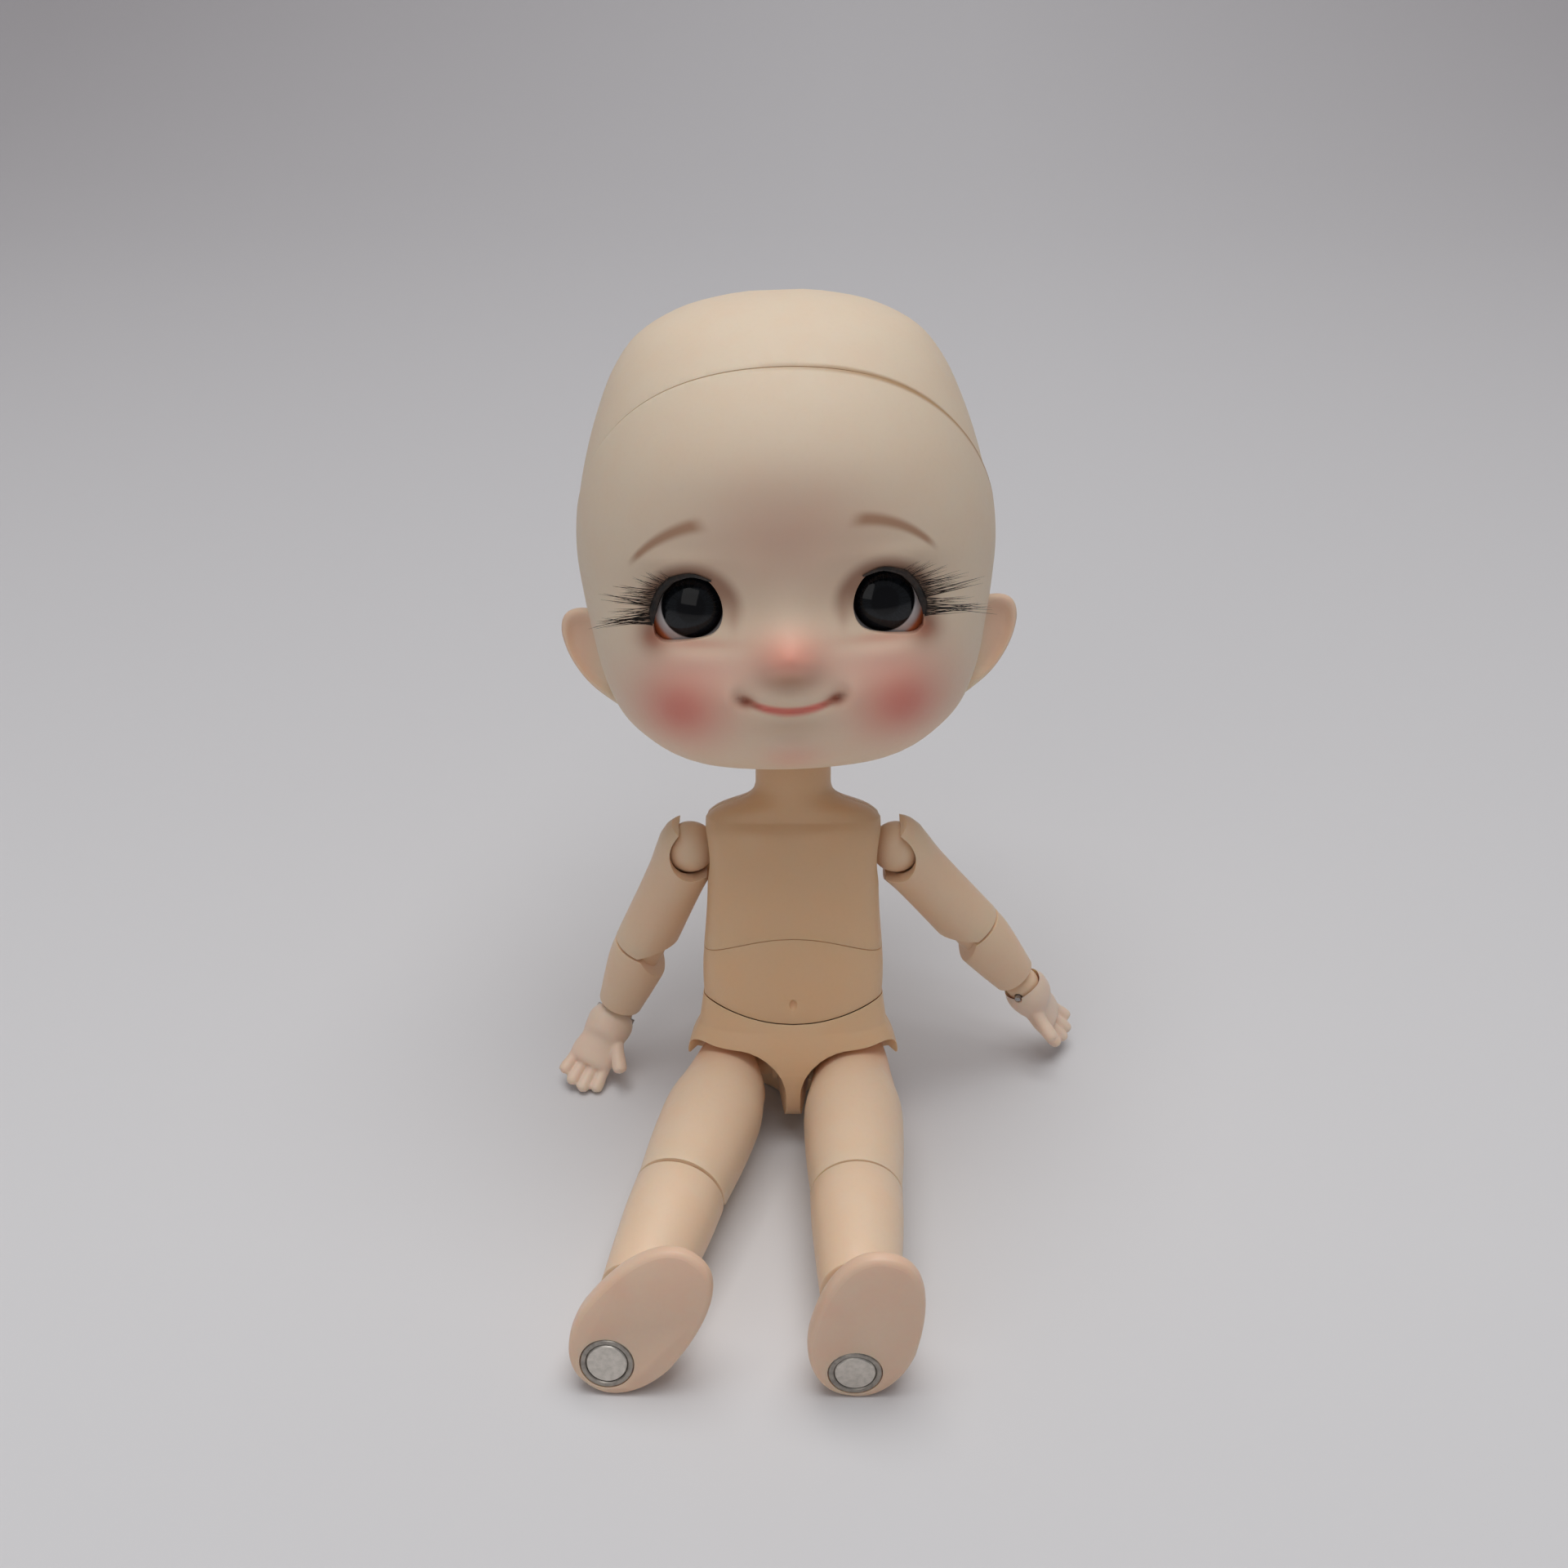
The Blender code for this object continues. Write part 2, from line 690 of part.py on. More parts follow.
def shoulder_room(side):
    sign = side_sign[side]
    bore = lathe(grown(peg(shoulder_peg_radius, 0.0, shoulder_peg_length), clearance), small_segments)
    tool = joined(ball(shoulder_recess_radius, fine_segments, 8), moved(bore, turn(-sign * 0.5 * math.pi, "Y")))
    return moved(tool, shift(sign * 0.5 * shoulder_width, shoulder_back, shoulder_height))


chest = chest_form()
chest = cut(chest, shoulder_room("right"), shoulder_room("left"))
half_hollow_wide, half_hollow_deep = 0.5 * chest_hollow_width, 0.5 * chest_hollow_depth
chest = cut(chest, block((-half_hollow_wide, half_hollow_wide), (-half_hollow_deep, half_hollow_deep),
                         (chest_hollow_low, chest_hollow_high)))
chest = cut(chest, rod(spine_pin_radius + pin_clearance, chest_seam_height - overrun, chest_hollow_low + overrun))
nod_room = joined(ball(neck_ball_radius + ball_clearance, small_segments, 8),
                  moved(sector(-nod_travel, nod_travel, neck_stem_radius + clearance,
                               neck_radius + overrun, 2.0 * (neck_stem_radius + clearance)), turn(math.pi, "X")))
chest = cut(chest, moved(nod_room, shift(z=neck_pivot_height)))
chest = moved(chest, shift(z=-chest_seam_height))
halves("chest", chest, twist, chest_width)

low_shoulder, high_shoulder = spine_pin_low + spine_flange_thickness, spine_pin_high - spine_flange_thickness
spine_pin = lathe([(spine_flange_radius, spine_pin_low), (spine_flange_radius, low_shoulder),
                   (spine_pin_radius, low_shoulder), (spine_pin_radius, high_shoulder),
                   (spine_flange_radius, high_shoulder), (spine_flange_radius, spine_pin_high)], small_segments)
piece("spine_pin", moved(spine_pin, shift(z=-chest_seam_height)), twist, joint_plastic)

# Neck ball, its stem and the plate that the head turns on
nod = pivot("head_nod", twist, (0.0, 0.0, neck_pivot_height - chest_seam_height))
roll = pivot("head_roll", nod, (0.0, 0.0, 0.0), -head_roll, "Y")
neck_post = knob(neck_ball_radius, [
    (neck_stem_radius, 0.0), (neck_stem_radius, neck_stem_length), (neck_flange_radius, neck_stem_length),
    (neck_flange_radius, neck_stem_length + neck_flange_thickness)])
piece("neck_ball", neck_post, roll, joint_plastic)
head_turn = pivot("head_turn", roll, (0.0, 0.0, 0.0), 0.0, "Z")

# Head
head_base = -head_over_neck
head_shares = [
    # height, half width, front reach, back reach
    (0.000, 0.43, 0.36, 0.16), (0.018, 0.57, 0.58, 0.30), (0.055, 0.71, 0.76, 0.44), (0.115, 0.85, 0.875, 0.60),
    (0.20, 0.936, 0.945, 0.76), (0.30, 0.986, 0.965, 0.885), (0.38, 1.018, 0.955, 0.945), (0.47, 1.040, 0.985, 0.985),
    (0.56, 1.028, 1.000, 1.000), (0.66, 0.981, 0.98, 0.985), (0.76, 0.909, 0.895, 0.920), (0.85, 0.817, 0.76, 0.800),
    (0.92, 0.687, 0.60, 0.650), (0.97, 0.472, 0.40, 0.440), (0.993, 0.239, 0.20, 0.230)]
head_power = 2.12
head_segments = 32


def bump(distance, reach):
    return math.exp(-(distance / reach) ** 2)


def head_surface(shrink):
    """Head skin; shrink moves it inwards evenly for the hollow, which has no face relief."""
    scale_x, scale_y = 1.0 - 2.0 * shrink / head_width, 1.0 - 2.0 * shrink / head_depth
    scale_z = 1.0 - 2.0 * shrink / head_height
    rings = []
    for height, wide, front, back in head_shares:
        ring = outline(0.5 * head_width * wide * scale_x, 0.5 * head_depth * front * scale_y,
                       0.5 * head_depth * back * scale_y, head_power, head_segments)
        level = head_height * (0.5 + (height - 0.5) * scale_z)
        for point in ring:
            point.z = level
            if shrink == 0.0 and point.y < 0.0:
                nose = bump(math.hypot(point.x, level - nose_height), nose_radius)
                cheek = bump(math.hypot(abs(point.x) - 0.5 * cheek_spacing, level - cheek_height), cheek_radius)
                socket = bump(math.hypot(abs(point.x) - 0.5 * eye_spacing, level - eye_height), socket_radius)
                point.y -= nose_depth * nose + cheek_depth * cheek - socket_depth * socket
        rings.append(ring)
    top = head_height * (0.5 + 0.5 * scale_z)
    base = head_height * (0.5 - 0.5 * scale_z)
    poles = [Vector((0.0, (rings[0][0].y), base)), Vector((0.0, 0.0, top))]
    return skin([[poles[0]]] + rings + [[poles[1]]])


def shares_at(height):
    """Width, front and back shares of the head at a height that is itself a share of the head's height."""
    for low, high in zip(head_shares, head_shares[1:]):
        if low[0] <= height <= high[0]:
            step = (height - low[0]) / (high[0] - low[0])
            return [a + (b - a) * step for a, b in zip(low, high)]
    return list(head_shares[0] if height < head_shares[0][0] else head_shares[-1])


def face_reach(aside, height):
    """Forward reach of the plain head, without nose, cheeks and sockets, at a place beside its middle line."""
    _, wide, front, _ = shares_at(height / head_height)
    side = min(aside / (0.5 * head_width * wide), 1.0) ** head_power
    return 0.5 * head_depth * front * (1.0 - side) ** (1.0 / head_power)


def eye_place(sign):
    """Middle of the eyeball, set back from the face so that its front fills the opening."""
    back = eye_radius + eye_inset
    skin_reach = face_reach(0.5 * eye_spacing, eye_height) - 0.75 * socket_depth
    return Vector((sign * (0.5 * eye_spacing - back * math.sin(eye_turn)), back - skin_reach, eye_height))


cap_normal = Vector((0.0, math.sin(cap_tilt), math.cos(cap_tilt)))
cap_offset = cap_normal.dot(Vector((0.0, 0.0, 0.5 * head_height + cap_rise)))
head_place = shift(y=-head_forward, z=head_base)
head_reach = 1.2 * head_height


def ear(sign):
    """Ear as a half leaf that is rooted in the head: broad above, drawn to a lobe below."""
    rings = []
    for height, width in ((-0.5, 0.05), (-0.42, 0.30), (-0.25, 0.58), (0.00, 0.84), (0.22, 1.00), (0.38, 0.92),
                          (0.47, 0.66), (0.50, 0.36)):
        thick = 0.5 * ear_thickness * (0.55 + 0.45 * width)
        ring = outline(0.5 * (ear_root + ear_width * width), thick, thick, 2.4, small_segments)
        for point in ring:
            point.z = height * ear_height
            point.x += 0.5 * (ear_width * width - ear_root)
        rings.append(ring)
    leaf = moved(skin(rings), turn(16.0 * degree, "Y"), turn(22.0 * degree, "Z"),
                 shift(0.465 * head_width, 0.02 * head_depth, ear_place_height))
    if sign < 0.0:
        leaf = moved(leaf, Matrix.Scale(-1.0, 4, (1.0, 0.0, 0.0)))
        leaf.flip_normals()
    return leaf


def magnet_spot():
    """Place of the crown magnets: in the wall, just under and over the cap seam, at the forehead."""
    across = Vector((0.0, -math.cos(cap_tilt), math.sin(cap_tilt)))
    middle = Vector((0.0, 0.0, 0.5 * head_height)) + cap_normal * (cap_offset - cap_normal.z * 0.5 * head_height)
    inside, outside = 0.0, head_height
    for _ in range(40):
        reach = 0.5 * (inside + outside)
        point = middle + across * reach
        if point.z < head_height and -point.y < face_reach(0.0, point.z):
            inside = reach
        else:
            outside = reach
    return middle + across * (inside - head_wall - magnet_radius - magnet_set_in)


cap_facing = cap_normal.to_track_quat("Z", "Y").to_matrix().to_4x4()
spot = magnet_spot()
cap_spot = spot + cap_normal * cap_seam
boss_radius = magnet_radius + 0.45 * head_wall
low_boss = rod(boss_radius, -1.1 * head_wall, overrun)
high_boss = rod(boss_radius, -overrun, 1.1 * head_wall)
pocket_depth = magnet_thickness + 2.0 * clearance
low_pocket = rod(magnet_radius + pin_clearance, -pocket_depth, overrun)
high_pocket = rod(magnet_radius + pin_clearance, -overrun, pocket_depth)


def at_seam(mesh, where):
    return moved(mesh, cap_facing, Matrix.Translation(where))


outer = head_surface(0.0)
hollow = head_surface(head_wall)
cap_side = beyond(cap_normal, cap_offset, head_reach)
face_side = beyond(-cap_normal, -cap_offset - cap_seam, head_reach)
wall = cut(outer, hollow)
cap = cut(joined(wall, at_seam(high_boss, cap_spot)), face_side, at_seam(high_pocket, cap_spot))
shell = joined(cut(joined(outer, ear(-1.0), ear(1.0)), hollow), at_seam(low_boss, spot))
shell = cut(shell, cap_side, at_seam(low_pocket, spot))
neck_hole = moved(joined(ball(neck_radius + clearance), lathe([
    (neck_radius + 0.5 * clearance, 0.0), (neck_radius + 2.6 * head_over_neck, -2.6 * head_over_neck)])),
    shift(y=head_forward, z=head_over_neck))
plate_seat = moved(rod(neck_plate_radius + clearance, 1.45 * head_wall, 0.3 * head_height, fine_segments),
                   shift(y=head_forward))
shell = cut(shell, neck_hole, plate_seat)

eye_opening = lathe([(0.5 * eye_opening_width * 0.9, -0.4 * eye_radius), (0.5 * eye_opening_width, -3.0 * eye_radius)],
                    fine_segments)
eye_opening = moved(eye_opening, turn(-0.5 * math.pi, "X"), Matrix.Scale(
    eye_opening_height / eye_opening_width, 4, (0.0, 0.0, 1.0)))
eye_seat = ball(eye_radius + clearance, fine_segments, 10)
for side, sign in side_sign.items():
    place = eye_place(sign)
    facing = turn(sign * eye_turn, "Z")
    hole = moved(eye_opening, facing, Matrix.Translation(place))
    shell = cut(shell, moved(eye_seat, Matrix.Translation(place)), hole)


magnet = rod(magnet_radius, 0.0, magnet_thickness)
magnet_turned = moved(magnet, cap_facing)
drop = cap_normal * (magnet_thickness + clearance)
rise = cap_normal * (cap_seam + clearance)

piece("head_shell", moved(shell, head_place), head_turn, head_resin)
piece("head_magnet", moved(magnet_turned, Matrix.Translation(spot - drop), head_place), head_turn, magnet_nickel)
cap_lift = pivot("cap_lift", head_turn, (0.0, 0.0, 0.0))
piece("head_cap", moved(cap, head_place), cap_lift, head_resin)
piece("cap_magnet", moved(magnet_turned, Matrix.Translation(spot + rise), head_place), cap_lift, magnet_nickel)

# Eyes, putty and lashes
for side, sign in side_sign.items():
    place = Matrix.Translation(eye_place(sign))
    facing = turn(sign * eye_turn, "Z")
    dome = [(0.0, eye_radius)]
    dome += [(eye_radius * math.sin(a * degree), eye_radius * math.cos(a * degree)) for a in (18, 36, 54, 72, 90)]
    dome += [(0.92 * eye_radius, -0.28 * eye_radius)]
    eyeball = moved(lathe(dome, fine_segments), turn(0.5 * math.pi, "X"), facing, place, head_place)
    piece(side + "_eye", eyeball, head_turn, eye_acrylic)
    back = -0.28 * eye_radius - clearance
    pad = lathe([(0.96 * eye_radius, back), (0.70 * eye_radius, back - putty_thickness)], small_segments)
    piece(side + "_eye_putty", moved(pad, turn(0.5 * math.pi, "X"), facing, place, head_place), head_turn, putty_clay)
    fan = []
    for step in range(6):
        angle = (8.0 + 22.0 * step) * degree
        rim_x = sign * 0.5 * eye_opening_width * 0.86 * math.cos(angle)
        rim_z = 0.5 * eye_opening_height * 0.86 * math.sin(angle)
        length = lash_length * (1.0 - 0.11 * step)
        root = Vector((rim_x, -eye_radius - 2.0 * eye_inset - lash_stand_off, rim_z))
        tip = root + Vector((sign * length * math.cos(0.5 * angle), -0.35 * length, length * 0.5 * math.sin(angle)))
        thick = Vector((0.0, -lash_thickness, 0.0))
        fan.append([root, tip, tip + thick, root + thick])
    strip = moved(skin(fan), facing, place, head_place)
    piece(side + "_lash_strip", strip, head_turn, lash_hair)

plate_low = 1.45 * head_wall - head_over_neck + clearance
plate_top = neck_stem_length - clearance
plate_base = plate_top - neck_plate_thickness
plate = lathe([(neck_stem_radius + ball_clearance, plate_base), (neck_stem_radius + ball_clearance, plate_top),
               (neck_plate_radius, plate_top), (neck_plate_radius, plate_low),
               (neck_radius + 2.0 * clearance, plate_low), (neck_radius + 2.0 * clearance, plate_base)],
              small_segments + 4, closed=True)
piece("neck_plate", plate, head_turn, joint_plastic)


# Arms
def limb(shares, length, radius, segments=fine_segments):
    """Turned limb that hangs from its upper joint; shares are (length share, radius share)."""
    return lathe([(radius * wide, -length * way) for way, wide in shares], segments)


def bevel_tool(angle, way, up, gap):
    """Half space that takes the corner off a limb on the side it folds to."""
    normal = Vector((0.0, way * math.sin(angle), up * math.cos(angle)))
    return beyond(normal, gap, 3.0 * thigh_radius)


def upper_limb(length, girth, shares, cup_radius, ball_radius, end_ball, skirt, pin_half, pin_radius, fold):
    """Outer form of an upper arm or thigh with its upper cup and its lower cup, before its opening is cut."""
    dome = [(0.0, cup_radius)]
    dome += [(cup_radius * math.sin(a * degree), cup_radius * math.cos(a * degree)) for a in (30, 60)]
    body = [(girth * wide, -length * way) for way, wide in shares]
    form = lathe(dome + body + [(body[-1][0], -length - skirt)], fine_segments)
    upper_room = ball(ball_radius + ball_clearance, small_segments + 4, 8)
    room = end_ball + ball_clearance
    lower_room = lathe([(0.0, room), (room * 0.5, room * 0.866), (room * 0.866, room * 0.5), (room, 0.0),
                        (room, -skirt - overrun)], fine_segments)
    lower_room = moved(lower_room, shift(z=-length))
    pin_hole = moved(rod(pin_radius + pin_clearance, -pin_half - pin_clearance, pin_half + pin_clearance, pin_segments),
                     along_x, shift(z=-length))
    bevel = moved(bevel_tool(hinge_bevel, fold, -1.0, pin_radius + clearance), shift(z=-length))
    return cut(form, upper_room, lower_room, bevel, pin_hole)


def lower_limb(length, start, end_radius, end_ball, pin_radius, gap, bore, fold, belly=1.0):
    """Outer form of a forearm or calf: the ball in the upper cup, then the limb down to the next joint's gap."""
    shoulder = elbow_skirt if end_ball == elbow_ball_radius else knee_skirt
    shelf = -shoulder - clearance
    end = -length + gap
    outer_form = lathe([(start, shelf), (start * belly, 0.35 * end), (0.5 * (start * belly + end_radius), 0.70 * end),
                        (end_radius, end + 0.3 * clearance), (0.94 * end_radius, end)], fine_segments)
    outer_form = cut(outer_form, bevel_tool(hinge_bevel, fold, 1.0, -clearance))
    head_part = lathe([(0.0, end_ball), (end_ball * 0.5, end_ball * 0.866), (end_ball * 0.866, end_ball * 0.5),
                       (end_ball, 0.0), (end_ball, shelf), (end_ball * 0.9, shelf - overrun)], fine_segments)
    form = joined(head_part, outer_form)
    pin_hole = moved(rod(pin_radius + pin_clearance, -start, start, pin_segments), along_x)
    return cut(form, pin_hole, moved(bore, shift(z=-length)))


for side, sign in side_sign.items():
    # Shoulder ball: its peg turns in the chest, its slot takes the eye of the stem
    swing = pivot(side + "_shoulder_swing", twist,
                  (sign * 0.5 * shoulder_width, shoulder_back, shoulder_height - chest_seam_height), swing_pose[side])
    slot_low, slot_high = raise_travel
    slot = sector(slot_low, slot_high, shoulder_stem_radius + ball_clearance, 2.0 * shoulder_ball_radius,
                  shoulder_eye_thickness + 2.0 * ball_clearance)
    slot = moved(slot, turn(0.5 * math.pi, "Z"), turn(math.pi, "Z") if sign > 0.0 else Matrix.Identity(4))
    eye_room = moved(rod(shoulder_eye_radius + ball_clearance, -0.5 * shoulder_eye_thickness - ball_clearance,
                         0.5 * shoulder_eye_thickness + ball_clearance), along_y)
    pin_room = moved(rod(shoulder_pin_radius + pin_clearance, -0.5 * shoulder_pin_length - pin_clearance,
                         0.5 * shoulder_pin_length + pin_clearance, pin_segments), along_y)
    shoulder_ball = moved(knob(shoulder_ball_radius, peg(shoulder_peg_radius, 0.0, shoulder_peg_length), 16),
                          turn(-sign * 0.5 * math.pi, "Y"))
    piece(side + "_shoulder_ball", cut(shoulder_ball, slot, eye_room, pin_room), swing, body_plastic)
    pin = moved(rod(shoulder_pin_radius, -0.5 * shoulder_pin_length, 0.5 * shoulder_pin_length, pin_segments), along_y)
    piece(side + "_shoulder_pin", pin, swing, pin_steel)

    # Stem: its eye hinges in the ball, the arm turns on its peg
    lift = pivot(side + "_arm_raise", swing, (0.0, 0.0, 0.0), -sign * raise_pose[side], "Y")
    stem_profile = peg(shoulder_stem_radius, -0.6 * shoulder_eye_radius, -shoulder_stem_length)
    stem = joined(moved(rod(shoulder_eye_radius, -0.5 * shoulder_eye_thickness, 0.5 * shoulder_eye_thickness), along_y),
                  lathe(stem_profile, pin_segments))
    stem = cut(stem, moved(rod(shoulder_pin_radius + pin_clearance, -shoulder_pin_length, shoulder_pin_length,
                               pin_segments), along_y))
    piece(side + "_shoulder_stem", stem, lift, joint_plastic)

    # Upper arm
    twist_arm = pivot(side + "_arm_twist", lift, (0.0, 0.0, 0.0), sign * -arm_twist_pose[side], "Z")
    elbow_pin_half = elbow_ball_radius + ball_clearance + elbow_pin_overlap
    arm = upper_limb(upper_arm_length, upper_arm_radius, upper_arm_shares, shoulder_cup_radius,
                     shoulder_ball_radius, elbow_ball_radius, elbow_skirt, elbow_pin_half, elbow_pin_radius, -1.0)
    facing_in = turn(sign * arm_twist_pose[side], "Z")
    opening = facing_in @ Vector((-sign * math.sin(cup_lean), 0.0, math.cos(cup_lean)))
    scallop = moved(rod(shoulder_ball_radius + ball_clearance, -2.0 * shoulder_cup_radius, 2.0 * shoulder_cup_radius,
                        fine_segments), along_y, facing_in, Matrix.Translation(opening * 2.0 * shoulder_cup_lip))
    stem_bore = lathe(grown(peg(shoulder_stem_radius, -shoulder_ball_radius * 0.8, -shoulder_stem_length),
                            ball_clearance), pin_segments)
    arm = cut(arm, beyond(opening, shoulder_cup_lip, 3.0 * shoulder_cup_radius), scallop, stem_bore)
    piece(side + "_upper_arm", arm, twist_arm, body_plastic)
    elbow = pivot(side + "_elbow_bend", twist_arm, (0.0, 0.0, -upper_arm_length), -elbow_pose[side])
    piece(side + "_elbow_pin", hinge_pin(elbow_pin_radius, elbow_pin_half), twist_arm, pin_steel).location = (
        0.0, 0.0, -upper_arm_length)

    # Forearm, wrist ball and hand
    wrist_bore = lathe(grown(peg(wrist_peg_radius, 0.0, wrist_peg_length), ball_clearance), small_segments)
    wrist_bore = joined(wrist_bore, ball(wrist_ball_radius + ball_clearance, small_segments, 8))
    forearm = lower_limb(forearm_length, elbow_radius, wrist_radius, elbow_ball_radius, elbow_pin_radius,
                         wrist_gap, wrist_bore, -1.0)
    piece(side + "_forearm", forearm, elbow, body_plastic)
    wrist_turn = pivot(side + "_wrist_turn", elbow, (0.0, 0.0, -forearm_length), wrist_turn_pose[side], "Z")
    wrist_ball = knob(wrist_ball_radius, peg(wrist_peg_radius, 0.0, wrist_peg_length), small_segments, 7)
    wrist_pin_half = wrist_ball_radius + ball_clearance + wrist_pin_overlap
    wrist_ball = cut(wrist_ball, moved(rod(wrist_pin_radius + pin_clearance, -2.0 * wrist_pin_half,
                                           2.0 * wrist_pin_half, pin_segments), along_x))
    piece(side + "_wrist_ball", wrist_ball, wrist_turn, body_plastic)
    wrist = pivot(side + "_wrist_bend", wrist_turn, (0.0, 0.0, 0.0), wrist_bend_pose[side])
    piece(side + "_wrist_pin", hinge_pin(wrist_pin_radius, wrist_pin_half), wrist, pin_steel)
    palm_rings = []
    for way, wide, thick in ((-0.03, 0.86, 1.60), (0.10, 1.08, 1.80), (0.26, 1.04, 1.70), (0.36, 0.98, 1.20),
                             (0.50, 1.06, 1.0), (0.62, 1.0, 0.9), (0.66, 0.8, 0.6)):
        ring = outline(0.5 * palm_width * wide, 0.5 * palm_thickness * thick, 0.5 * palm_thickness * thick,
                       2.2, small_segments + 4)
        palm_rings.append([point + Vector((0.0, 0.0, -way * hand_length)) for point in ring])
    hand = skin(palm_rings)
    for place, reach, spread in ((-1.5, 0.93, -7.0), (-0.5, 1.0, -2.0), (0.5, 0.98, 2.0), (1.5, 0.90, 7.0)):
        finger_length = hand_length * (reach - 0.56)
        finger = lathe([(0.0, 0.0), (finger_radius, -0.2 * finger_length), (finger_radius * 0.95, -0.8 * finger_length),
                        (0.0, -finger_length)], pin_segments)
        finger = moved(finger, turn(spread * degree, "Y"), turn(-8.0 * degree, "X"),
                       shift(-place * 0.235 * palm_width, 0.0, -0.56 * hand_length))
        hand = joined(hand, finger)
    thumb = lathe([(0.0, 0.0), (thumb_radius, -0.10 * hand_length), (thumb_radius * 0.9, -0.32 * hand_length),
                   (0.0, -0.42 * hand_length)], pin_segments)
    thumb = moved(thumb, turn(sign * 34.0 * degree, "Y"), turn(-18.0 * degree, "X"),
                  shift(-sign * 0.34 * palm_width, -0.2 * palm_thickness, -0.30 * hand_length))
    hand = joined(hand, thumb)
    cup_room = lathe([(0.0, -wrist_ball_radius - clearance), (wrist_ball_radius * 0.78, -wrist_ball_radius * 0.78),
                      (wrist_ball_radius + clearance, 0.0), (wrist_ball_radius + clearance, wrist_cup_radius)],
                     small_segments + 4)
    hand = cut(hand, cup_room)
    hand = cut(hand, moved(rod(wrist_pin_radius + pin_clearance, -wrist_pin_half - pin_clearance,
                               wrist_pin_half + pin_clearance, pin_segments), along_x))
    piece(side + "_hand", hand, wrist, hand_plastic)

    # Hip ball: its peg turns in the pelvis, the thigh hinges on its pin
    hip_swing = pivot(side + "_hip_swing", seat, (sign * 0.5 * hip_width, 0.0, hip_height), hip_swing_pose[side])
    hip_pin_half = hip_ball_radius + ball_clearance + hip_pin_overlap
    through_y = moved(rod(hip_pin_radius + pin_clearance, -2.0 * hip_pin_half, 2.0 * hip_pin_half, pin_segments), along_y)
    hip_ball = knob(hip_ball_radius, peg(hip_peg_radius, 0.0, hip_peg_length), 14)
    hip_ball = cut(moved(hip_ball, turn(-sign * 0.5 * math.pi, "Y")), through_y)
    piece(side + "_hip_ball", hip_ball, hip_swing, body_plastic)
    spread_leg = pivot(side + "_leg_spread", hip_swing, (0.0, 0.0, 0.0), -sign * hip_spread_pose[side], "Y")
    piece(side + "_hip_pin", moved(rod(hip_pin_radius, -hip_pin_half, hip_pin_half, pin_segments), along_y),
          spread_leg, pin_steel)

    # Thigh
    knee_pin_half = knee_ball_radius + ball_clearance + knee_pin_overlap
    thigh = upper_limb(thigh_length, thigh_radius, thigh_shares, hip_cup_radius, hip_ball_radius,
                       knee_ball_radius, knee_skirt, knee_pin_half, knee_pin_radius, 1.0)
    way_in = (-sign * math.sin(hip_cup_lean), 0.0, math.cos(hip_cup_lean))
    thigh = cut(thigh, beyond(way_in, hip_cup_lip, 3.0 * hip_cup_radius),
                moved(rod(hip_pin_radius + pin_clearance, -hip_pin_half - pin_clearance,
                          hip_pin_half + pin_clearance, pin_segments), along_y))
    piece(side + "_thigh", thigh, spread_leg, body_plastic)
    piece(side + "_knee_pin", hinge_pin(knee_pin_radius, knee_pin_half), spread_leg, pin_steel).location = (
        0.0, 0.0, -thigh_length)

    # Calf, ankle ball and foot
    knee = pivot(side + "_knee_bend", spread_leg, (0.0, 0.0, -thigh_length), knee_pose[side])
    ankle_bore = lathe(grown(peg(ankle_peg_radius, 0.0, ankle_peg_length), ball_clearance), small_segments)
    ankle_bore = joined(ankle_bore, ball(ankle_ball_radius + ball_clearance, small_segments, 8))
    calf = lower_limb(calf_length, knee_radius, ankle_radius, knee_ball_radius, knee_pin_radius,
                      ankle_gap, ankle_bore, 1.0, calf_radius / knee_radius)
    piece(side + "_calf", calf, knee, body_plastic)
    ankle_turn = pivot(side + "_ankle_turn", knee, (0.0, 0.0, -calf_length), ankle_turn_pose[side], "Z")
    ankle_pin_half = ankle_ball_radius + ball_clearance + ankle_pin_overlap
    ankle_ball = knob(ankle_ball_radius, peg(ankle_peg_radius, 0.0, ankle_peg_length), 14)
    ankle_ball = cut(ankle_ball, moved(rod(ankle_pin_radius + pin_clearance, -2.0 * ankle_pin_half,
                                           2.0 * ankle_pin_half, pin_segments), along_x))
    piece(side + "_ankle_ball", ankle_ball, ankle_turn, body_plastic)
    pitch = pivot(side + "_ankle_pitch", ankle_turn, (0.0, 0.0, 0.0), ankle_pitch_pose[side])
    piece(side + "_ankle_pin", hinge_pin(ankle_pin_radius, ankle_pin_half), pitch, pin_steel)
    toe_reach = foot_length - foot_heel_reach
    foot_rings = []
    for drop, wide, front, back in ((1.0, 0.90, 0.965, 0.95), (0.96, 0.97, 1.0, 1.0), (0.74, 1.0, 1.0, 0.96),
                                    (0.50, 0.96, 0.86, 0.87), (0.28, 0.86, 0.62, 0.76), (0.08, 0.79, 0.42, 0.66),
                                    (-0.05, 0.77, 0.375, 0.62)):
        ring = outline(0.5 * foot_width * wide, toe_reach * front, foot_heel_reach * back, 2.35, fine_segments + 4)
        for point in ring:
            point.z = -drop * foot_drop
            heel_share = max(0.0, point.y / foot_heel_reach)
            point.x *= 1.0 - 0.16 * heel_share * drop
        foot_rings.append(ring)
    foot = skin(foot_rings)
    foot_room = lathe([(0.0, -ankle_ball_radius - clearance), (ankle_ball_radius * 0.78, -ankle_ball_radius * 0.78),
                       (ankle_ball_radius + clearance, 0.0), (ankle_ball_radius + clearance, ankle_cup_radius)],
                      fine_segments)
    ring_radius = heel_magnet_radius + heel_ring_wall
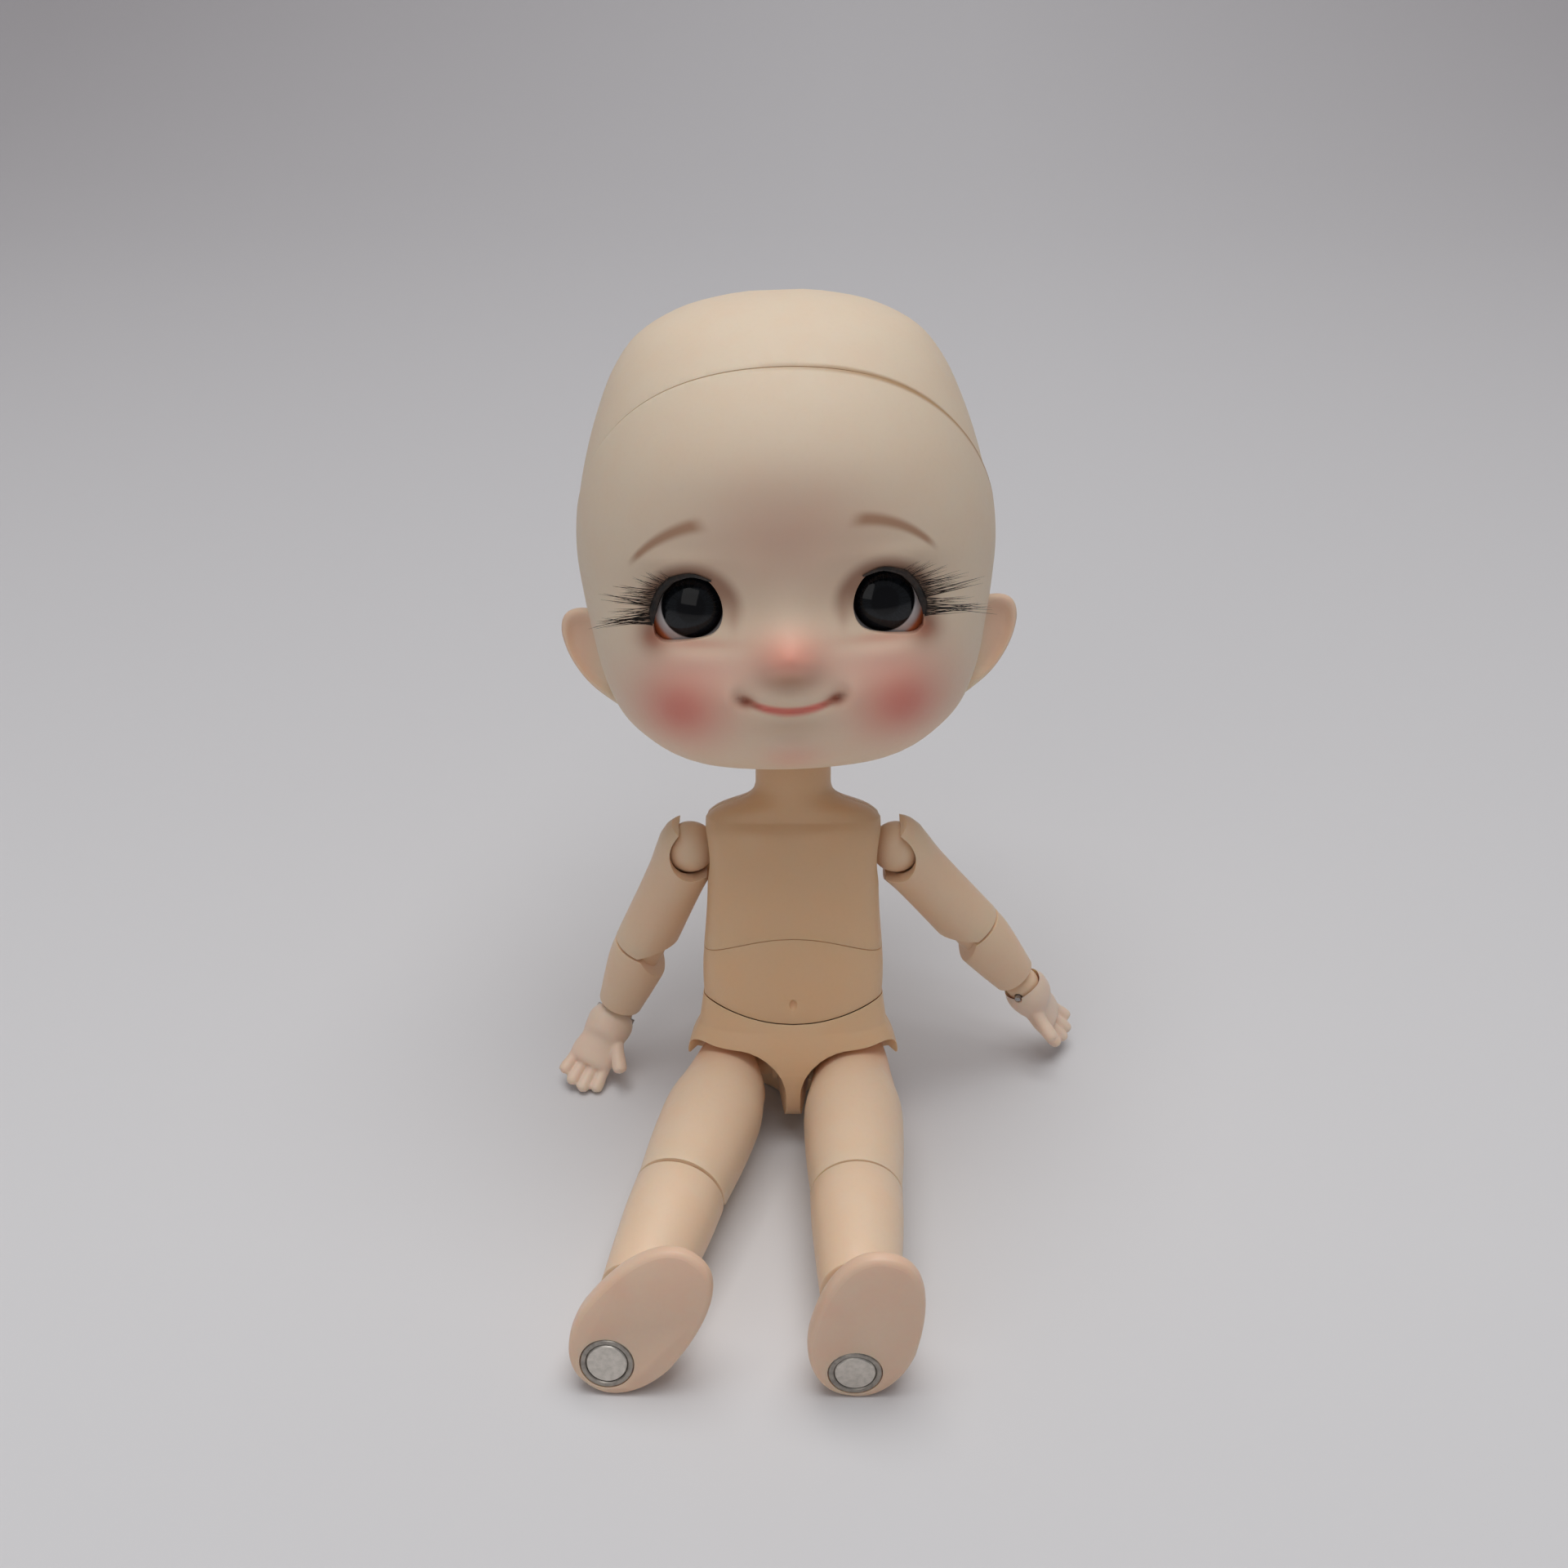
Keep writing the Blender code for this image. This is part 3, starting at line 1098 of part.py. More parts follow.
    pocket = moved(rod(ring_radius + pin_clearance, -foot_drop - overrun, -foot_drop + heel_magnet_depth, fine_segments),
                   shift(y=heel_magnet_back))
    foot = cut(foot, foot_room, pocket, moved(rod(ankle_pin_radius + pin_clearance, -ankle_pin_half - pin_clearance,
                                                  ankle_pin_half + pin_clearance, pin_segments), along_x))
    piece(side + "_foot", foot, pitch, hand_plastic)
    face, floor = -foot_drop, -foot_drop + heel_magnet_depth - clearance
    collar = lathe([(heel_magnet_radius + pin_clearance, face), (ring_radius, face), (ring_radius, floor),
                    (heel_magnet_radius + pin_clearance, floor)], fine_segments, closed=True)
    piece(side + "_heel_ring", moved(collar, shift(y=heel_magnet_back)), pitch, magnet_nickel)
    disc = rod(heel_magnet_radius, face, floor, fine_segments)
    piece(side + "_heel_magnet", moved(disc, shift(y=heel_magnet_back)), pitch, magnet_nickel)


# Stand the doll on its lowest points, with the origin under the middle of its box
def seat_on_floor():
    bpy.context.view_layer.update()
    corners = []
    for item in bpy.data.objects:
        if item.type == "MESH":
            corners += [item.matrix_world @ vertex.co for vertex in item.data.vertices]
    low = Vector([min(corner[axis] for corner in corners) for axis in range(3)])
    high = Vector([max(corner[axis] for corner in corners) for axis in range(3)])
    seat.location = (-0.5 * (low.x + high.x), -0.5 * (low.y + high.y), -low.z)
    bpy.context.view_layer.update()


seat_on_floor()
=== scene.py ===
import json
import math

import bpy
import bmesh
from mathutils import Matrix, Vector


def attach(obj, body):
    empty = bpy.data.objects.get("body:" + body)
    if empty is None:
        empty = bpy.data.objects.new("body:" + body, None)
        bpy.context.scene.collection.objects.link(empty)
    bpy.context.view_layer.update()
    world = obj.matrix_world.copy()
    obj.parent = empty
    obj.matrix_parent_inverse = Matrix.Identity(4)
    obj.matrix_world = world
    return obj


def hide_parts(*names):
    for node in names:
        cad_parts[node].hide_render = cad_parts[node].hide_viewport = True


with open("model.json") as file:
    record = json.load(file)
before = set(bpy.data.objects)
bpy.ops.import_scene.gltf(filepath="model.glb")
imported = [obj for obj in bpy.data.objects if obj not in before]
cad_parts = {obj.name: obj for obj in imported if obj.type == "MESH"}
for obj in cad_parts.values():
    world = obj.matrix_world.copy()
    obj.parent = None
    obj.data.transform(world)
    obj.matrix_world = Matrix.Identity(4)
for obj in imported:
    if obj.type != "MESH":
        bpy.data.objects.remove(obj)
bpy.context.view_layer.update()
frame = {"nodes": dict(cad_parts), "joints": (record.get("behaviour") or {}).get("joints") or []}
mm = 0.001

# The room: a sheet of pale card swept up behind the doll, one wide soft lamp overhead and two fills.
# The camera looks down from the front, at the angle that the photograph was taken from.
photo_pitch, doll_recline, waist_height = 30.4, 18.4, 26.4 * mm
joint_place = {joint["name"]: Vector(joint["pos_m"]) for joint in frame["joints"] if joint["type"] == "hinge"}


def shift(x=0.0, y=0.0, z=0.0):
    return Matrix.Translation((x, y, z))


def turn(angle, axis):
    return Matrix.Rotation(math.radians(angle), 4, axis)


def linked(name, data):
    item = bpy.data.objects.new(name, data)
    bpy.context.scene.collection.objects.link(item)
    return item


def as_mesh(form, name="form"):
    mesh = bpy.data.meshes.new(name)
    form.to_mesh(mesh)
    form.free()
    return mesh


def as_shaped(item):
    """Plain mesh of an object as its modifiers leave it."""
    return bpy.data.meshes.new_from_object(item.evaluated_get(bpy.context.evaluated_depsgraph_get()))


def node(tree, kind, inputs=(), **settings):
    """New node of a tree. Its inputs, by name or number, take a value or another node's socket."""
    made = tree.nodes.new(kind)
    for label, setting in settings.items():
        setattr(made, label, setting)
    for label, value in dict(inputs).items():
        if isinstance(value, bpy.types.NodeSocket):
            tree.links.new(value, made.inputs[label])
        else:
            made.inputs[label].default_value = value
    return made


def mixed(tree, weight, under, over):
    """Colour socket of one colour laid over another by a weight."""
    under, over = ((*colour, 1.0) if isinstance(colour, tuple) else colour for colour in (under, over))
    return node(tree, "ShaderNodeMix", {"Factor": weight, "A": under, "B": over}, data_type="RGBA").outputs["Result"]


def reckoned(tree, operation, *values):
    """One step of arithmetic on sockets and numbers."""
    return node(tree, "ShaderNodeMath", enumerate(values), operation=operation).outputs[0]


def product(tree, *values):
    result = values[0]
    for value in values[1:]:
        result = reckoned(tree, "MULTIPLY", result, value)
    return result


def spread(tree, value, low, high, out_low=0.0, out_high=1.0, smooth=True):
    """Value carried from one range to another, by default with a soft start and end."""
    inputs = {"Value": value, "From Min": low, "From Max": high, "To Min": out_low, "To Max": out_high}
    return node(tree, "ShaderNodeMapRange", inputs,
                interpolation_type="SMOOTHSTEP" if smooth else "LINEAR").outputs[0]


def parted(tree, vector):
    return node(tree, "ShaderNodeSeparateXYZ", {0: vector}).outputs


def blank(name):
    """New material with its node tree and its shader."""
    material = bpy.data.materials.new(name)
    material.use_nodes = True
    return material, material.node_tree, material.node_tree.nodes["Principled BSDF"]


seat = Matrix.Translation(joint_place["waist_lean"]) @ turn(-doll_recline, "X") @ shift(z=-waist_height)
camera_data = bpy.data.cameras.new("camera")
camera_data.lens, camera_data.sensor_width = 52.5, 36.0
camera_data.clip_start, camera_data.clip_end = 0.01, 20.0
camera = linked("camera", camera_data)
camera.location = seat.translation + Vector((-1.0, -203.08, 161.08)) * mm
camera.rotation_euler = (math.radians(90.0 - photo_pitch), 0.0, 0.0)
bpy.context.scene.camera = camera
bpy.context.scene.view_settings.view_transform = "Standard"

card_width, card_front, bend_start, bend_radius, card_top = 1.6, -0.9, 0.34, 0.30, 1.4
profile = [(card_front, 0.0), (bend_start, 0.0)]
for step in range(1, 13):
    angle = step * math.pi / 24
    profile.append((bend_start + bend_radius * math.sin(angle), bend_radius * (1 - math.cos(angle))))
profile.append((bend_start + bend_radius, card_top))
card = bmesh.new()
rows = [[card.verts.new((x, y, z)) for y, z in profile] for x in (-card_width, card_width)]
for near in range(len(profile) - 1):
    card.faces.new((rows[0][near], rows[1][near], rows[1][near + 1], rows[0][near + 1]))
backdrop = linked("backdrop", as_mesh(card, "backdrop"))
backdrop.data.shade_smooth()
card_paint, tree, shader = blank("backdrop")
x, y, _ = parted(tree, node(tree, "ShaderNodeTexCoord").outputs["Object"])
# the card is painted darker towards its back and its sides: painted shade where the lamp's light falls off
farther = spread(tree, y, -0.02, 0.50, smooth=False)
aside = spread(tree, reckoned(tree, "ABSOLUTE", reckoned(tree, "SUBTRACT", x, 0.03)), 0.02, 0.24, 0.62, smooth=False)
tree.links.new(mixed(tree, product(tree, farther, aside), (0.71, 0.71, 0.725), (0.36, 0.345, 0.36)),
               shader.inputs["Base Color"])
shader.inputs["Roughness"].default_value = 0.85
backdrop.data.materials.append(card_paint)

for name, place, wide, tall, power, colour in (
        ("overhead", (0.02, 0.06, 1.15), 0.95, 0.95, 8.6, (1.0, 0.985, 0.97)),
        ("front", (-0.25, -0.55, 0.42), 0.40, 0.40, 0.34, (1.0, 0.97, 0.94)),
        ("window", (0.02, -0.38, 0.68), 0.17, 0.035, 0.20, (0.95, 0.97, 1.0))):
    lamp_data = bpy.data.lights.new(name, "AREA")
    lamp_data.shape, lamp_data.size, lamp_data.size_y = "RECTANGLE", wide, tall
    lamp_data.energy, lamp_data.color = power, colour
    lamp = linked(name, lamp_data)
    lamp.location = place
    lamp.rotation_euler = (Vector((0.0, 0.0, 0.045)) - Vector(place)).to_track_quat("-Z", "Y").to_euler()
world = bpy.data.worlds.new("room")
bpy.context.scene.world = world
world.use_nodes = True
world.node_tree.nodes["Background"].inputs["Color"].default_value = (0.93, 0.94, 1.0, 1.0)
world.node_tree.nodes["Background"].inputs["Strength"].default_value = 0.20

# Pelvis: a moulded plastic form in a front and a back shell, glued along the sides.
# It is hollowed at the top for the abdomen to slide in, and its two side openings take the thighs.
clearance, ball_clearance, pin_clearance = 0.3 * mm, 0.25 * mm, 0.14 * mm
overrun = 1.5 * mm
torso_power, torso_segments = 3.2, 96
pelvis_half_width, pelvis_half_depth, pelvis_rim = 11.7 * mm, 7.0 * mm, 11.4 * mm
abdomen_half_width, abdomen_half_depth = 9.8 * mm, 5.8 * mm
hip_half_width, hip_height, hip_cup_radius = 6.5 * mm, 5.0 * mm, 4.1 * mm
thigh_length, thigh_radius = 21.0 * mm, 5.3 * mm
thigh_shares = [(0.00, 0.775), (0.14, 0.835), (0.26, 0.90), (0.42, 1.00), (0.62, 1.00), (0.80, 0.965),
                (1.00, 0.905)]
side_sign = {"right": -1.0, "left": 1.0}


def eased(points, count):
    """Smooth run of tuples through the given ones, as a drawn curve through its marks."""
    result = []
    last = len(points) - 1
    for step in range(count):
        place = last * step / (count - 1)
        index = min(int(place), last - 1)
        share = place - index
        before, start = points[max(index - 1, 0)], points[index]
        end, after = points[index + 1], points[min(index + 2, last)]
        result.append(tuple(
            0.5 * (2 * b + (c - a) * share + (2 * a - 5 * b + 4 * c - d) * share ** 2
                   + (3 * b - a - 3 * c + d) * share ** 3)
            for a, b, c, d in zip(before, start, end, after)))
    return result


def outline(width, front, back, power, count):
    """Rounded box outline: half width, reach to the front, reach to the back."""
    points = []
    for step in range(count):
        angle = math.tau * step / count
        side, deep = math.cos(angle), math.sin(angle)
        x = math.copysign(abs(side) ** (2.0 / power), side) * width
        y = math.copysign(abs(deep) ** (2.0 / power), deep) * (back if deep > 0.0 else front)
        points.append(Vector((x, y, 0.0)))
    return points


def skin(rings, closed=False):
    """Closed mesh through rings of points; a ring of one point is a pole, open ends get a middle point."""
    form = bmesh.new()
    if not closed:
        poles = [[sum(ring, Vector()) / len(ring)] if len(ring) > 1 else None
                 for ring in (rings[0], rings[-1])]
        rings = ([poles[0]] if poles[0] else []) + list(rings) + ([poles[1]] if poles[1] else [])
    rows = [[form.verts.new(point) for point in ring] for ring in rings]
    for row, after in zip(rows, rows[1:] + ([rows[0]] if closed else [])):
        count = max(len(row), len(after))
        for step in range(count):
            ahead = (step + 1) % count
            if len(row) == 1:
                form.faces.new((row[0], after[step], after[ahead]))
            elif len(after) == 1:
                form.faces.new((row[step], row[ahead], after[0]))
            else:
                form.faces.new((row[step], row[ahead], after[ahead], after[step]))
    bmesh.ops.recalc_face_normals(form, faces=form.faces)
    return as_mesh(form)


def prism(edge, thickness):
    """Flat outline of (y, z) pairs, extruded along X about the middle."""
    form = bmesh.new()
    ends = [form.faces.new([form.verts.new((x, y, z)) for y, z in edge])
            for x in (-0.5 * thickness, 0.5 * thickness)]
    for step in range(len(edge)):
        ahead = (step + 1) % len(edge)
        first, last = (end.verts for end in ends)
        form.faces.new((first[step], first[ahead], last[ahead], last[step]))
    bmesh.ops.recalc_face_normals(form, faces=form.faces)
    return as_mesh(form)


def lathe(profile, segments=48, closed=False):
    """Turned solid about Z from (radius, height) pairs."""
    angles = [math.tau * step / segments for step in range(segments)]
    return skin([[Vector((0.0, 0.0, height))] if radius == 0.0 else
                 [Vector((radius * math.cos(a), radius * math.sin(a), height)) for a in angles]
                 for radius, height in profile], closed)


def moved(mesh, *matrices):
    copy = mesh.copy()
    for matrix in matrices:
        copy.transform(matrix)
    return copy


def combined(base, other, operation):
    pair = []
    for mesh in (base, other):
        form = bmesh.new()
        form.from_mesh(mesh)
        bmesh.ops.triangulate(form, faces=form.faces)
        pair.append(linked("form", as_mesh(form)))
    modifier = pair[0].modifiers.new("cut", "BOOLEAN")
    modifier.operation, modifier.solver, modifier.object = operation, "EXACT", pair[1]
    form = bmesh.new()
    form.from_mesh(as_shaped(pair[0]))
    for item in pair:
        bpy.data.objects.remove(item, do_unlink=True)
    bmesh.ops.remove_doubles(form, verts=form.verts, dist=0.002 * mm)
    bmesh.ops.dissolve_degenerate(form, edges=form.edges, dist=0.002 * mm)
    return as_mesh(form)


def cut(base, *tools):
    for tool in tools:
        base = combined(base, tool, "DIFFERENCE")
    return base


def joined(base, *others):
    for other in others:
        base = combined(base, other, "UNION")
    return base


def rod(radius, low, high, segments=32):
    return lathe([(radius, low), (radius, high)], segments)


def ball(radius, segments=48, bands=24):
    angles = [math.pi * band / bands for band in range(1, bands)]
    return lathe([(0.0, -radius)] + [(radius * math.sin(a), -radius * math.cos(a)) for a in angles]
                 + [(0.0, radius)], segments)


def block(x, y, z):
    return skin([[Vector((a, b, c)) for a, b in ((x[0], y[0]), (x[1], y[0]), (x[1], y[1]), (x[0], y[1]))]
                 for c in z])


def beyond(normal, offset, reach):
    """Large block that fills the side of a plane which the normal points to."""
    facing = Vector(normal).normalized().to_track_quat("Z", "Y").to_matrix().to_4x4()
    return moved(block((-reach, reach), (-reach, reach), (offset, offset + reach)), facing)


flange_length, flange_rise = 0.8 * mm, 0.5 * mm


def peg(radius, start, end):
    """Peg profile with a retaining flange at its end; it runs from start to end along Z."""
    neck = end - math.copysign(flange_length, end - start)
    return [(radius, start), (radius, neck), (radius + flange_rise, neck), (radius + flange_rise, end)]


def peg_room(radius, start, end, gap):
    way = math.copysign(gap, end - start)
    neck = end - math.copysign(flange_length, end - start) - way
    wide = radius + flange_rise + gap
    return lathe([(radius + gap, start - way), (radius + gap, neck), (wide, neck), (wide, end + way)], 32)


along_x, along_y = turn(90, "Y"), turn(-90, "X")


def waist_radius():
    return math.hypot(abdomen_half_depth, waist_height - pelvis_rim)


def waist_rings(wide, deep, lift, count=14):
    """Rings along the sphere that the abdomen slides on, from its rim to its lowest point."""
    rings = []
    for step in range(count):
        share = 1.0 - step / count
        ring = outline(wide * share, deep * share, deep * share, torso_power, torso_segments)
        for point in ring:
            point.z = waist_height - math.sqrt((waist_radius() - lift) ** 2 - point.x ** 2 - point.y ** 2)
        rings.append(ring)
    return rings + [[Vector((0.0, 0.0, waist_height - waist_radius() + lift))]]


def thigh_way(side):
    """Space that the thigh sweeps, seen from the hip's middle with one distance for each direction."""
    low, high = math.radians(-75), math.radians(22)
    spread_low, spread_high = math.radians(-4), math.radians(40)
    start = hip_cup_radius + clearance
    way_down = [(start, 0.0)]
    way_down += [(thigh_radius * wide + clearance, thigh_length * way) for way, wide in thigh_shares[1:5]]

    def reach(across, down):
        if down <= 0.0:
            return start
        for (radius, drop), (next_radius, next_drop) in zip(way_down, way_down[1:]):
            slope = (next_radius - radius) / (next_drop - drop)
            if across > slope * down:
                far = (radius - slope * drop) / (across - slope * down)
                if drop <= far * down <= next_drop:
                    return far
        return way_down[-1][1] / down

    def seen_along(aside, ahead, down):
        out = side_sign[side] * aside
        splay = min(max(math.atan2(out, down), spread_low), spread_high)
        across = out * math.cos(splay) - down * math.sin(splay)
        return math.hypot(across, ahead), down * math.cos(splay) + out * math.sin(splay)

    quarter = 0.5 * math.pi
    stations = [low - quarter + quarter * step / 10 for step in range(10)]
    stations += [low + (high - low) * step / 18 for step in range(18)]
    stations += [high + quarter * step / 10 for step in range(11)]
    rest = math.tau - (high - low) - 2.0 * quarter
    stations += [high + quarter + rest * step / 6 for step in range(1, 6)]
    rings = [[Vector((-reach(*seen_along(-1.0, 0.0, 0.0)), 0.0, 0.0))]]
    half_tilts = [7, 14, 21, 27, 32, 37, 42, 48, 54, 60, 66, 72, 80]
    for tilt in [-tilt for tilt in reversed(half_tilts)] + [0] + half_tilts:
        aside, level = math.sin(math.radians(tilt)), math.cos(math.radians(tilt))
        ring = []
        for angle in stations:
            offset = angle - min(max(angle, low), high)
            far = reach(*seen_along(aside, level * math.sin(offset), level * math.cos(offset)))
            ring.append(Vector((aside, level * math.sin(angle), -level * math.cos(angle))) * far)
        rings.append(ring)
    rings.append([Vector((reach(*seen_along(1.0, 0.0, 0.0)), 0.0, 0.0))])
    return moved(skin(rings), shift(side_sign[side] * hip_half_width, 0.0, hip_height))


def about(tree, vector, place, angles, scale):
    """Coordinates measured from a place, in its own directions and scale."""
    return node(tree, "ShaderNodeMapping", {"Vector": vector, "Location": place, "Rotation": angles,
                                            "Scale": scale}, vector_type="TEXTURE").outputs[0]


def local_millimetres(tree, where):
    """Coordinates in a piece's own frame, in millimetres, from its Object coordinates."""
    return about(tree, node(tree, "ShaderNodeTexCoord").outputs["Object"], where.translation,
                 where.to_euler(), (mm, mm, mm))


def grain(tree, vector, scale, detail=3.0):
    return node(tree, "ShaderNodeTexNoise", {"Vector": vector, "Scale": scale, "Detail": detail,
                                             "Roughness": 0.55}).outputs["Fac"]


def surfaced(tree, vector, tint, sheen, relief):
    """Colour, clouded roughness and bump. A sheen is its scale, detail and two roughness values;
    a relief is its scale, detail, strength and depth in millimetres."""
    shader = tree.nodes["Principled BSDF"]
    tree.links.new(tint, shader.inputs["Base Color"])
    scale, detail, low, high = sheen
    tree.links.new(spread(tree, grain(tree, vector, scale, detail), 0.3, 0.7, low, high),
                   shader.inputs["Roughness"])
    scale, detail, strength, depth = relief
    bump = node(tree, "ShaderNodeBump", {"Strength": strength, "Distance": depth * mm,
                                         "Height": grain(tree, vector, scale, detail)})
    tree.links.new(bump.outputs[0], shader.inputs["Normal"])


def plastic(name, where, colour, warm, soft=0.22, sheen_low=0.34, sheen_high=0.52, bump=0.05):
    """Moulded vinyl-like plastic: cloudy colour, faint mould texture, light that sinks in a little."""
    material, tree, shader = blank(name)
    vector = local_millimetres(tree, where)
    clouds = spread(tree, grain(tree, vector, 0.22), 0.35, 0.70)
    flecks = spread(tree, grain(tree, vector, 2.4, 5.0), 0.45, 0.75)
    tint = mixed(tree, product(tree, clouds, 0.45), colour, warm)
    tint = mixed(tree, product(tree, flecks, 0.05), tint, tuple(channel * 0.72 for channel in colour))
    surfaced(tree, vector, tint, (1.3, 4.0, sheen_low, sheen_high), (7.0, 4.0, bump, 0.04))
    shader.inputs["Subsurface Weight"].default_value = soft
    shader.inputs["Subsurface Radius"].default_value = (1.0, 0.42, 0.22)
    shader.inputs["Subsurface Scale"].default_value = 1.6 * mm
    shader.inputs["IOR"].default_value = 1.46
    return material, tree, vector, tint


def settled(name, mesh, where, body, material, slot, *nodes, edge=0.10 * mm, sharp=38):
    """Bring a finished form to its place, round its edges, and hang it on its body."""
    mesh = moved(mesh, where)
    mesh.name = name
    item = linked(name, mesh)
    form = bmesh.new()
    form.from_mesh(mesh)
    bmesh.ops.remove_doubles(form, verts=form.verts, dist=0.002 * mm)
    bmesh.ops.dissolve_limit(form, angle_limit=math.radians(0.4), verts=form.verts, edges=form.edges)
    bmesh.ops.recalc_face_normals(form, faces=form.faces)
    form.to_mesh(mesh)
    form.free()
    if edge > 0.0:
        bevel = item.modifiers.new("edge", "BEVEL")
        bevel.width, bevel.segments, bevel.limit_method = edge, 2, "ANGLE"
        bevel.angle_limit, bevel.use_clamp_overlap = math.radians(sharp), True
        rounded = as_shaped(item)
        item.modifiers.clear()
        item.data = rounded
        rounded.name = name
    item.data.materials.clear()
    item.data.materials.append(material)
    item.data.shade_smooth()
    item.data.set_sharp_from_angle(angle=math.radians(sharp))
    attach(item, body)
    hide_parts(*nodes)


torso_plastic = plastic("torso_plastic", seat, (0.80, 0.535, 0.32), (0.83, 0.52, 0.29))[0]
seam_gap = 0.2 * mm


def halves(name, mesh, reach, *rooms):
    """Front and back shell of a form that is split across its widest line, with the rooms cut from each."""
    for half, low, high in (("front", -0.5 * seam_gap, reach), ("back", -reach, 0.5 * seam_gap)):
        shell = cut(mesh, block((-reach, reach), (low, high), (-reach, 3.0 * reach)), *rooms)
        settled(name + "_" + half + "_shell", shell, seat, name, torso_plastic, "body_plastic", name + "_" + half)


pelvis_marks = [
    # height over the rim height, half width, front reach, back reach
    (0.00, 0.30, 0.30, 0.76), (0.04, 0.50, 0.52, 1.12), (0.16, 0.74, 0.80, 1.23), (0.40, 0.94, 0.93, 1.16),
    (0.58, 0.995, 0.965, 1.07), (0.70, 0.975, 0.955, 1.02), (0.84, 0.93, 0.91, 0.95), (1.0, 0.842, 0.835, 0.84)]
cleft_share, cleft_width = 0.12, 1.8 * mm
rings = []
for height, wide, front, back in eased(pelvis_marks, 44)[:-3]:
    ring = outline(pelvis_half_width * wide, pelvis_half_depth * front, pelvis_half_depth * back, 2.6,
                   torso_segments)
    for point in ring:
        point.z = height * pelvis_rim
        if point.y > 0.0:
            point.y *= 1.0 - cleft_share * (1.0 - height) * math.exp(-(point.x / cleft_width) ** 2)
    rings.append(ring)
pelvis = skin(rings + waist_rings(abdomen_half_width + 0.1 * mm, abdomen_half_depth + 0.1 * mm, 0.0))
hip_peg = (1.2 * mm, 0.0, 5.0 * mm)
leg_rooms = []
for side, sign in side_sign.items():
    leg_rooms.append(moved(peg_room(*hip_peg, clearance), turn(-90 * sign, "Y"),
                           shift(sign * hip_half_width, 0.0, hip_height)))
    leg_rooms.append(thigh_way(side))
    low_corner = shift(sign * 11.0 * mm, 0.0, 6.1 * mm)
    leg_rooms.append(moved(beyond((sign, 0.0, -1.6), 0.0, 8.0 * mm), low_corner))
stem_room, flange_room, flange_gap = 1.1 * mm, 2.2 * mm, 1.4 * mm
low_flange = waist_radius() + 1.0 * mm


def track(inner, outer, half_width, thickness):
    """Curved slot about the waist's middle point, in which the stud slides."""
    end = math.radians(8) + math.asin(half_width / inner)
    angles = [end * share for share in (-1.0, -0.75, -0.5, -0.25, 0.0, 0.25, 0.5, 0.75, 1.0)]
    edge = [(inner * math.sin(a), -inner * math.cos(a)) for a in angles]
    edge += [(outer * math.sin(a), -outer * math.cos(a)) for a in reversed(angles)]
    return moved(prism(edge, thickness), shift(z=waist_height))


pelvis = cut(pelvis, track(waist_radius() - overrun, low_flange + clearance, stem_room, 2.0 * stem_room),
             track(low_flange, low_flange + flange_gap, flange_room, 2.0 * flange_room))
halves("pelvis", pelvis, 2.0 * pelvis_half_width, *leg_rooms)

# Abdomen: a short plastic drum in two shells, rounded below for the pelvis and dished above for the chest.
# The navel is a small dent from the mould.
seam_middle, seam_drop, chest_half_width = 22.1 * mm, 2.8 * mm, 9.8 * mm
navel_height, navel_radius, navel_depth = 13.7 * mm, 0.55 * mm, 0.42 * mm
slide_gap = 0.12 * mm


def seam_height(point):
    return seam_middle - seam_drop * (point.x ** 2 + point.y ** 2) / chest_half_width ** 2


def bowl(wide, deep, lift, count=12):
    """Rings and a pole along the seam between abdomen and chest."""
    rings = []
    for step in range(count):
        share = 1.0 - step / count
        ring = outline(wide * share, deep * share, deep * share, torso_power, torso_segments)
        for point in ring:
            point.z = seam_height(point) + lift
        rings.append(ring)
    return rings + [[Vector((0.0, 0.0, seam_middle + lift))]]


low_rings = waist_rings(abdomen_half_width, abdomen_half_depth, slide_gap)
high_rings = bowl(abdomen_half_width, abdomen_half_depth, -slide_gap)
side_rings = []
for step in range(1, 10):
    share = step / 10
    swell = math.sin(math.pi * share)
    ring = [low.lerp(high, share) for low, high in zip(low_rings[0], high_rings[0])]
    for point in ring:
        point.x *= 1.0 + 0.012 * swell
        point.y *= 1.0 + (0.032 if point.y < 0.0 else 0.012) * swell
    side_rings.append(ring)
abdomen = skin(list(reversed(low_rings)) + side_rings + high_rings)
navel = moved(ball(navel_radius, 24, 12), Matrix.Diagonal((0.8, navel_depth / navel_radius, 1.15, 1.0)),
              shift(0.0, -abdomen_half_depth * 1.03, navel_height))
high_flange = waist_radius() - 0.7 * mm
cross = turn(90, "Z")
pin_head, pin_shank = rod(2.7 * mm, 16.3 * mm, 17.9 * mm), rod(1.8 * mm, 16.6 * mm, seam_middle + overrun)
stem_track = track(high_flange - clearance, waist_radius() + overrun, stem_room, 2.0 * stem_room)
flange_track = track(high_flange - flange_gap, high_flange, flange_room, 2.0 * flange_room)
abdomen = cut(abdomen, joined(pin_head, pin_shank), navel, moved(stem_track, cross), moved(flange_track, cross))
halves("abdomen", abdomen, 2.0 * abdomen_half_width)

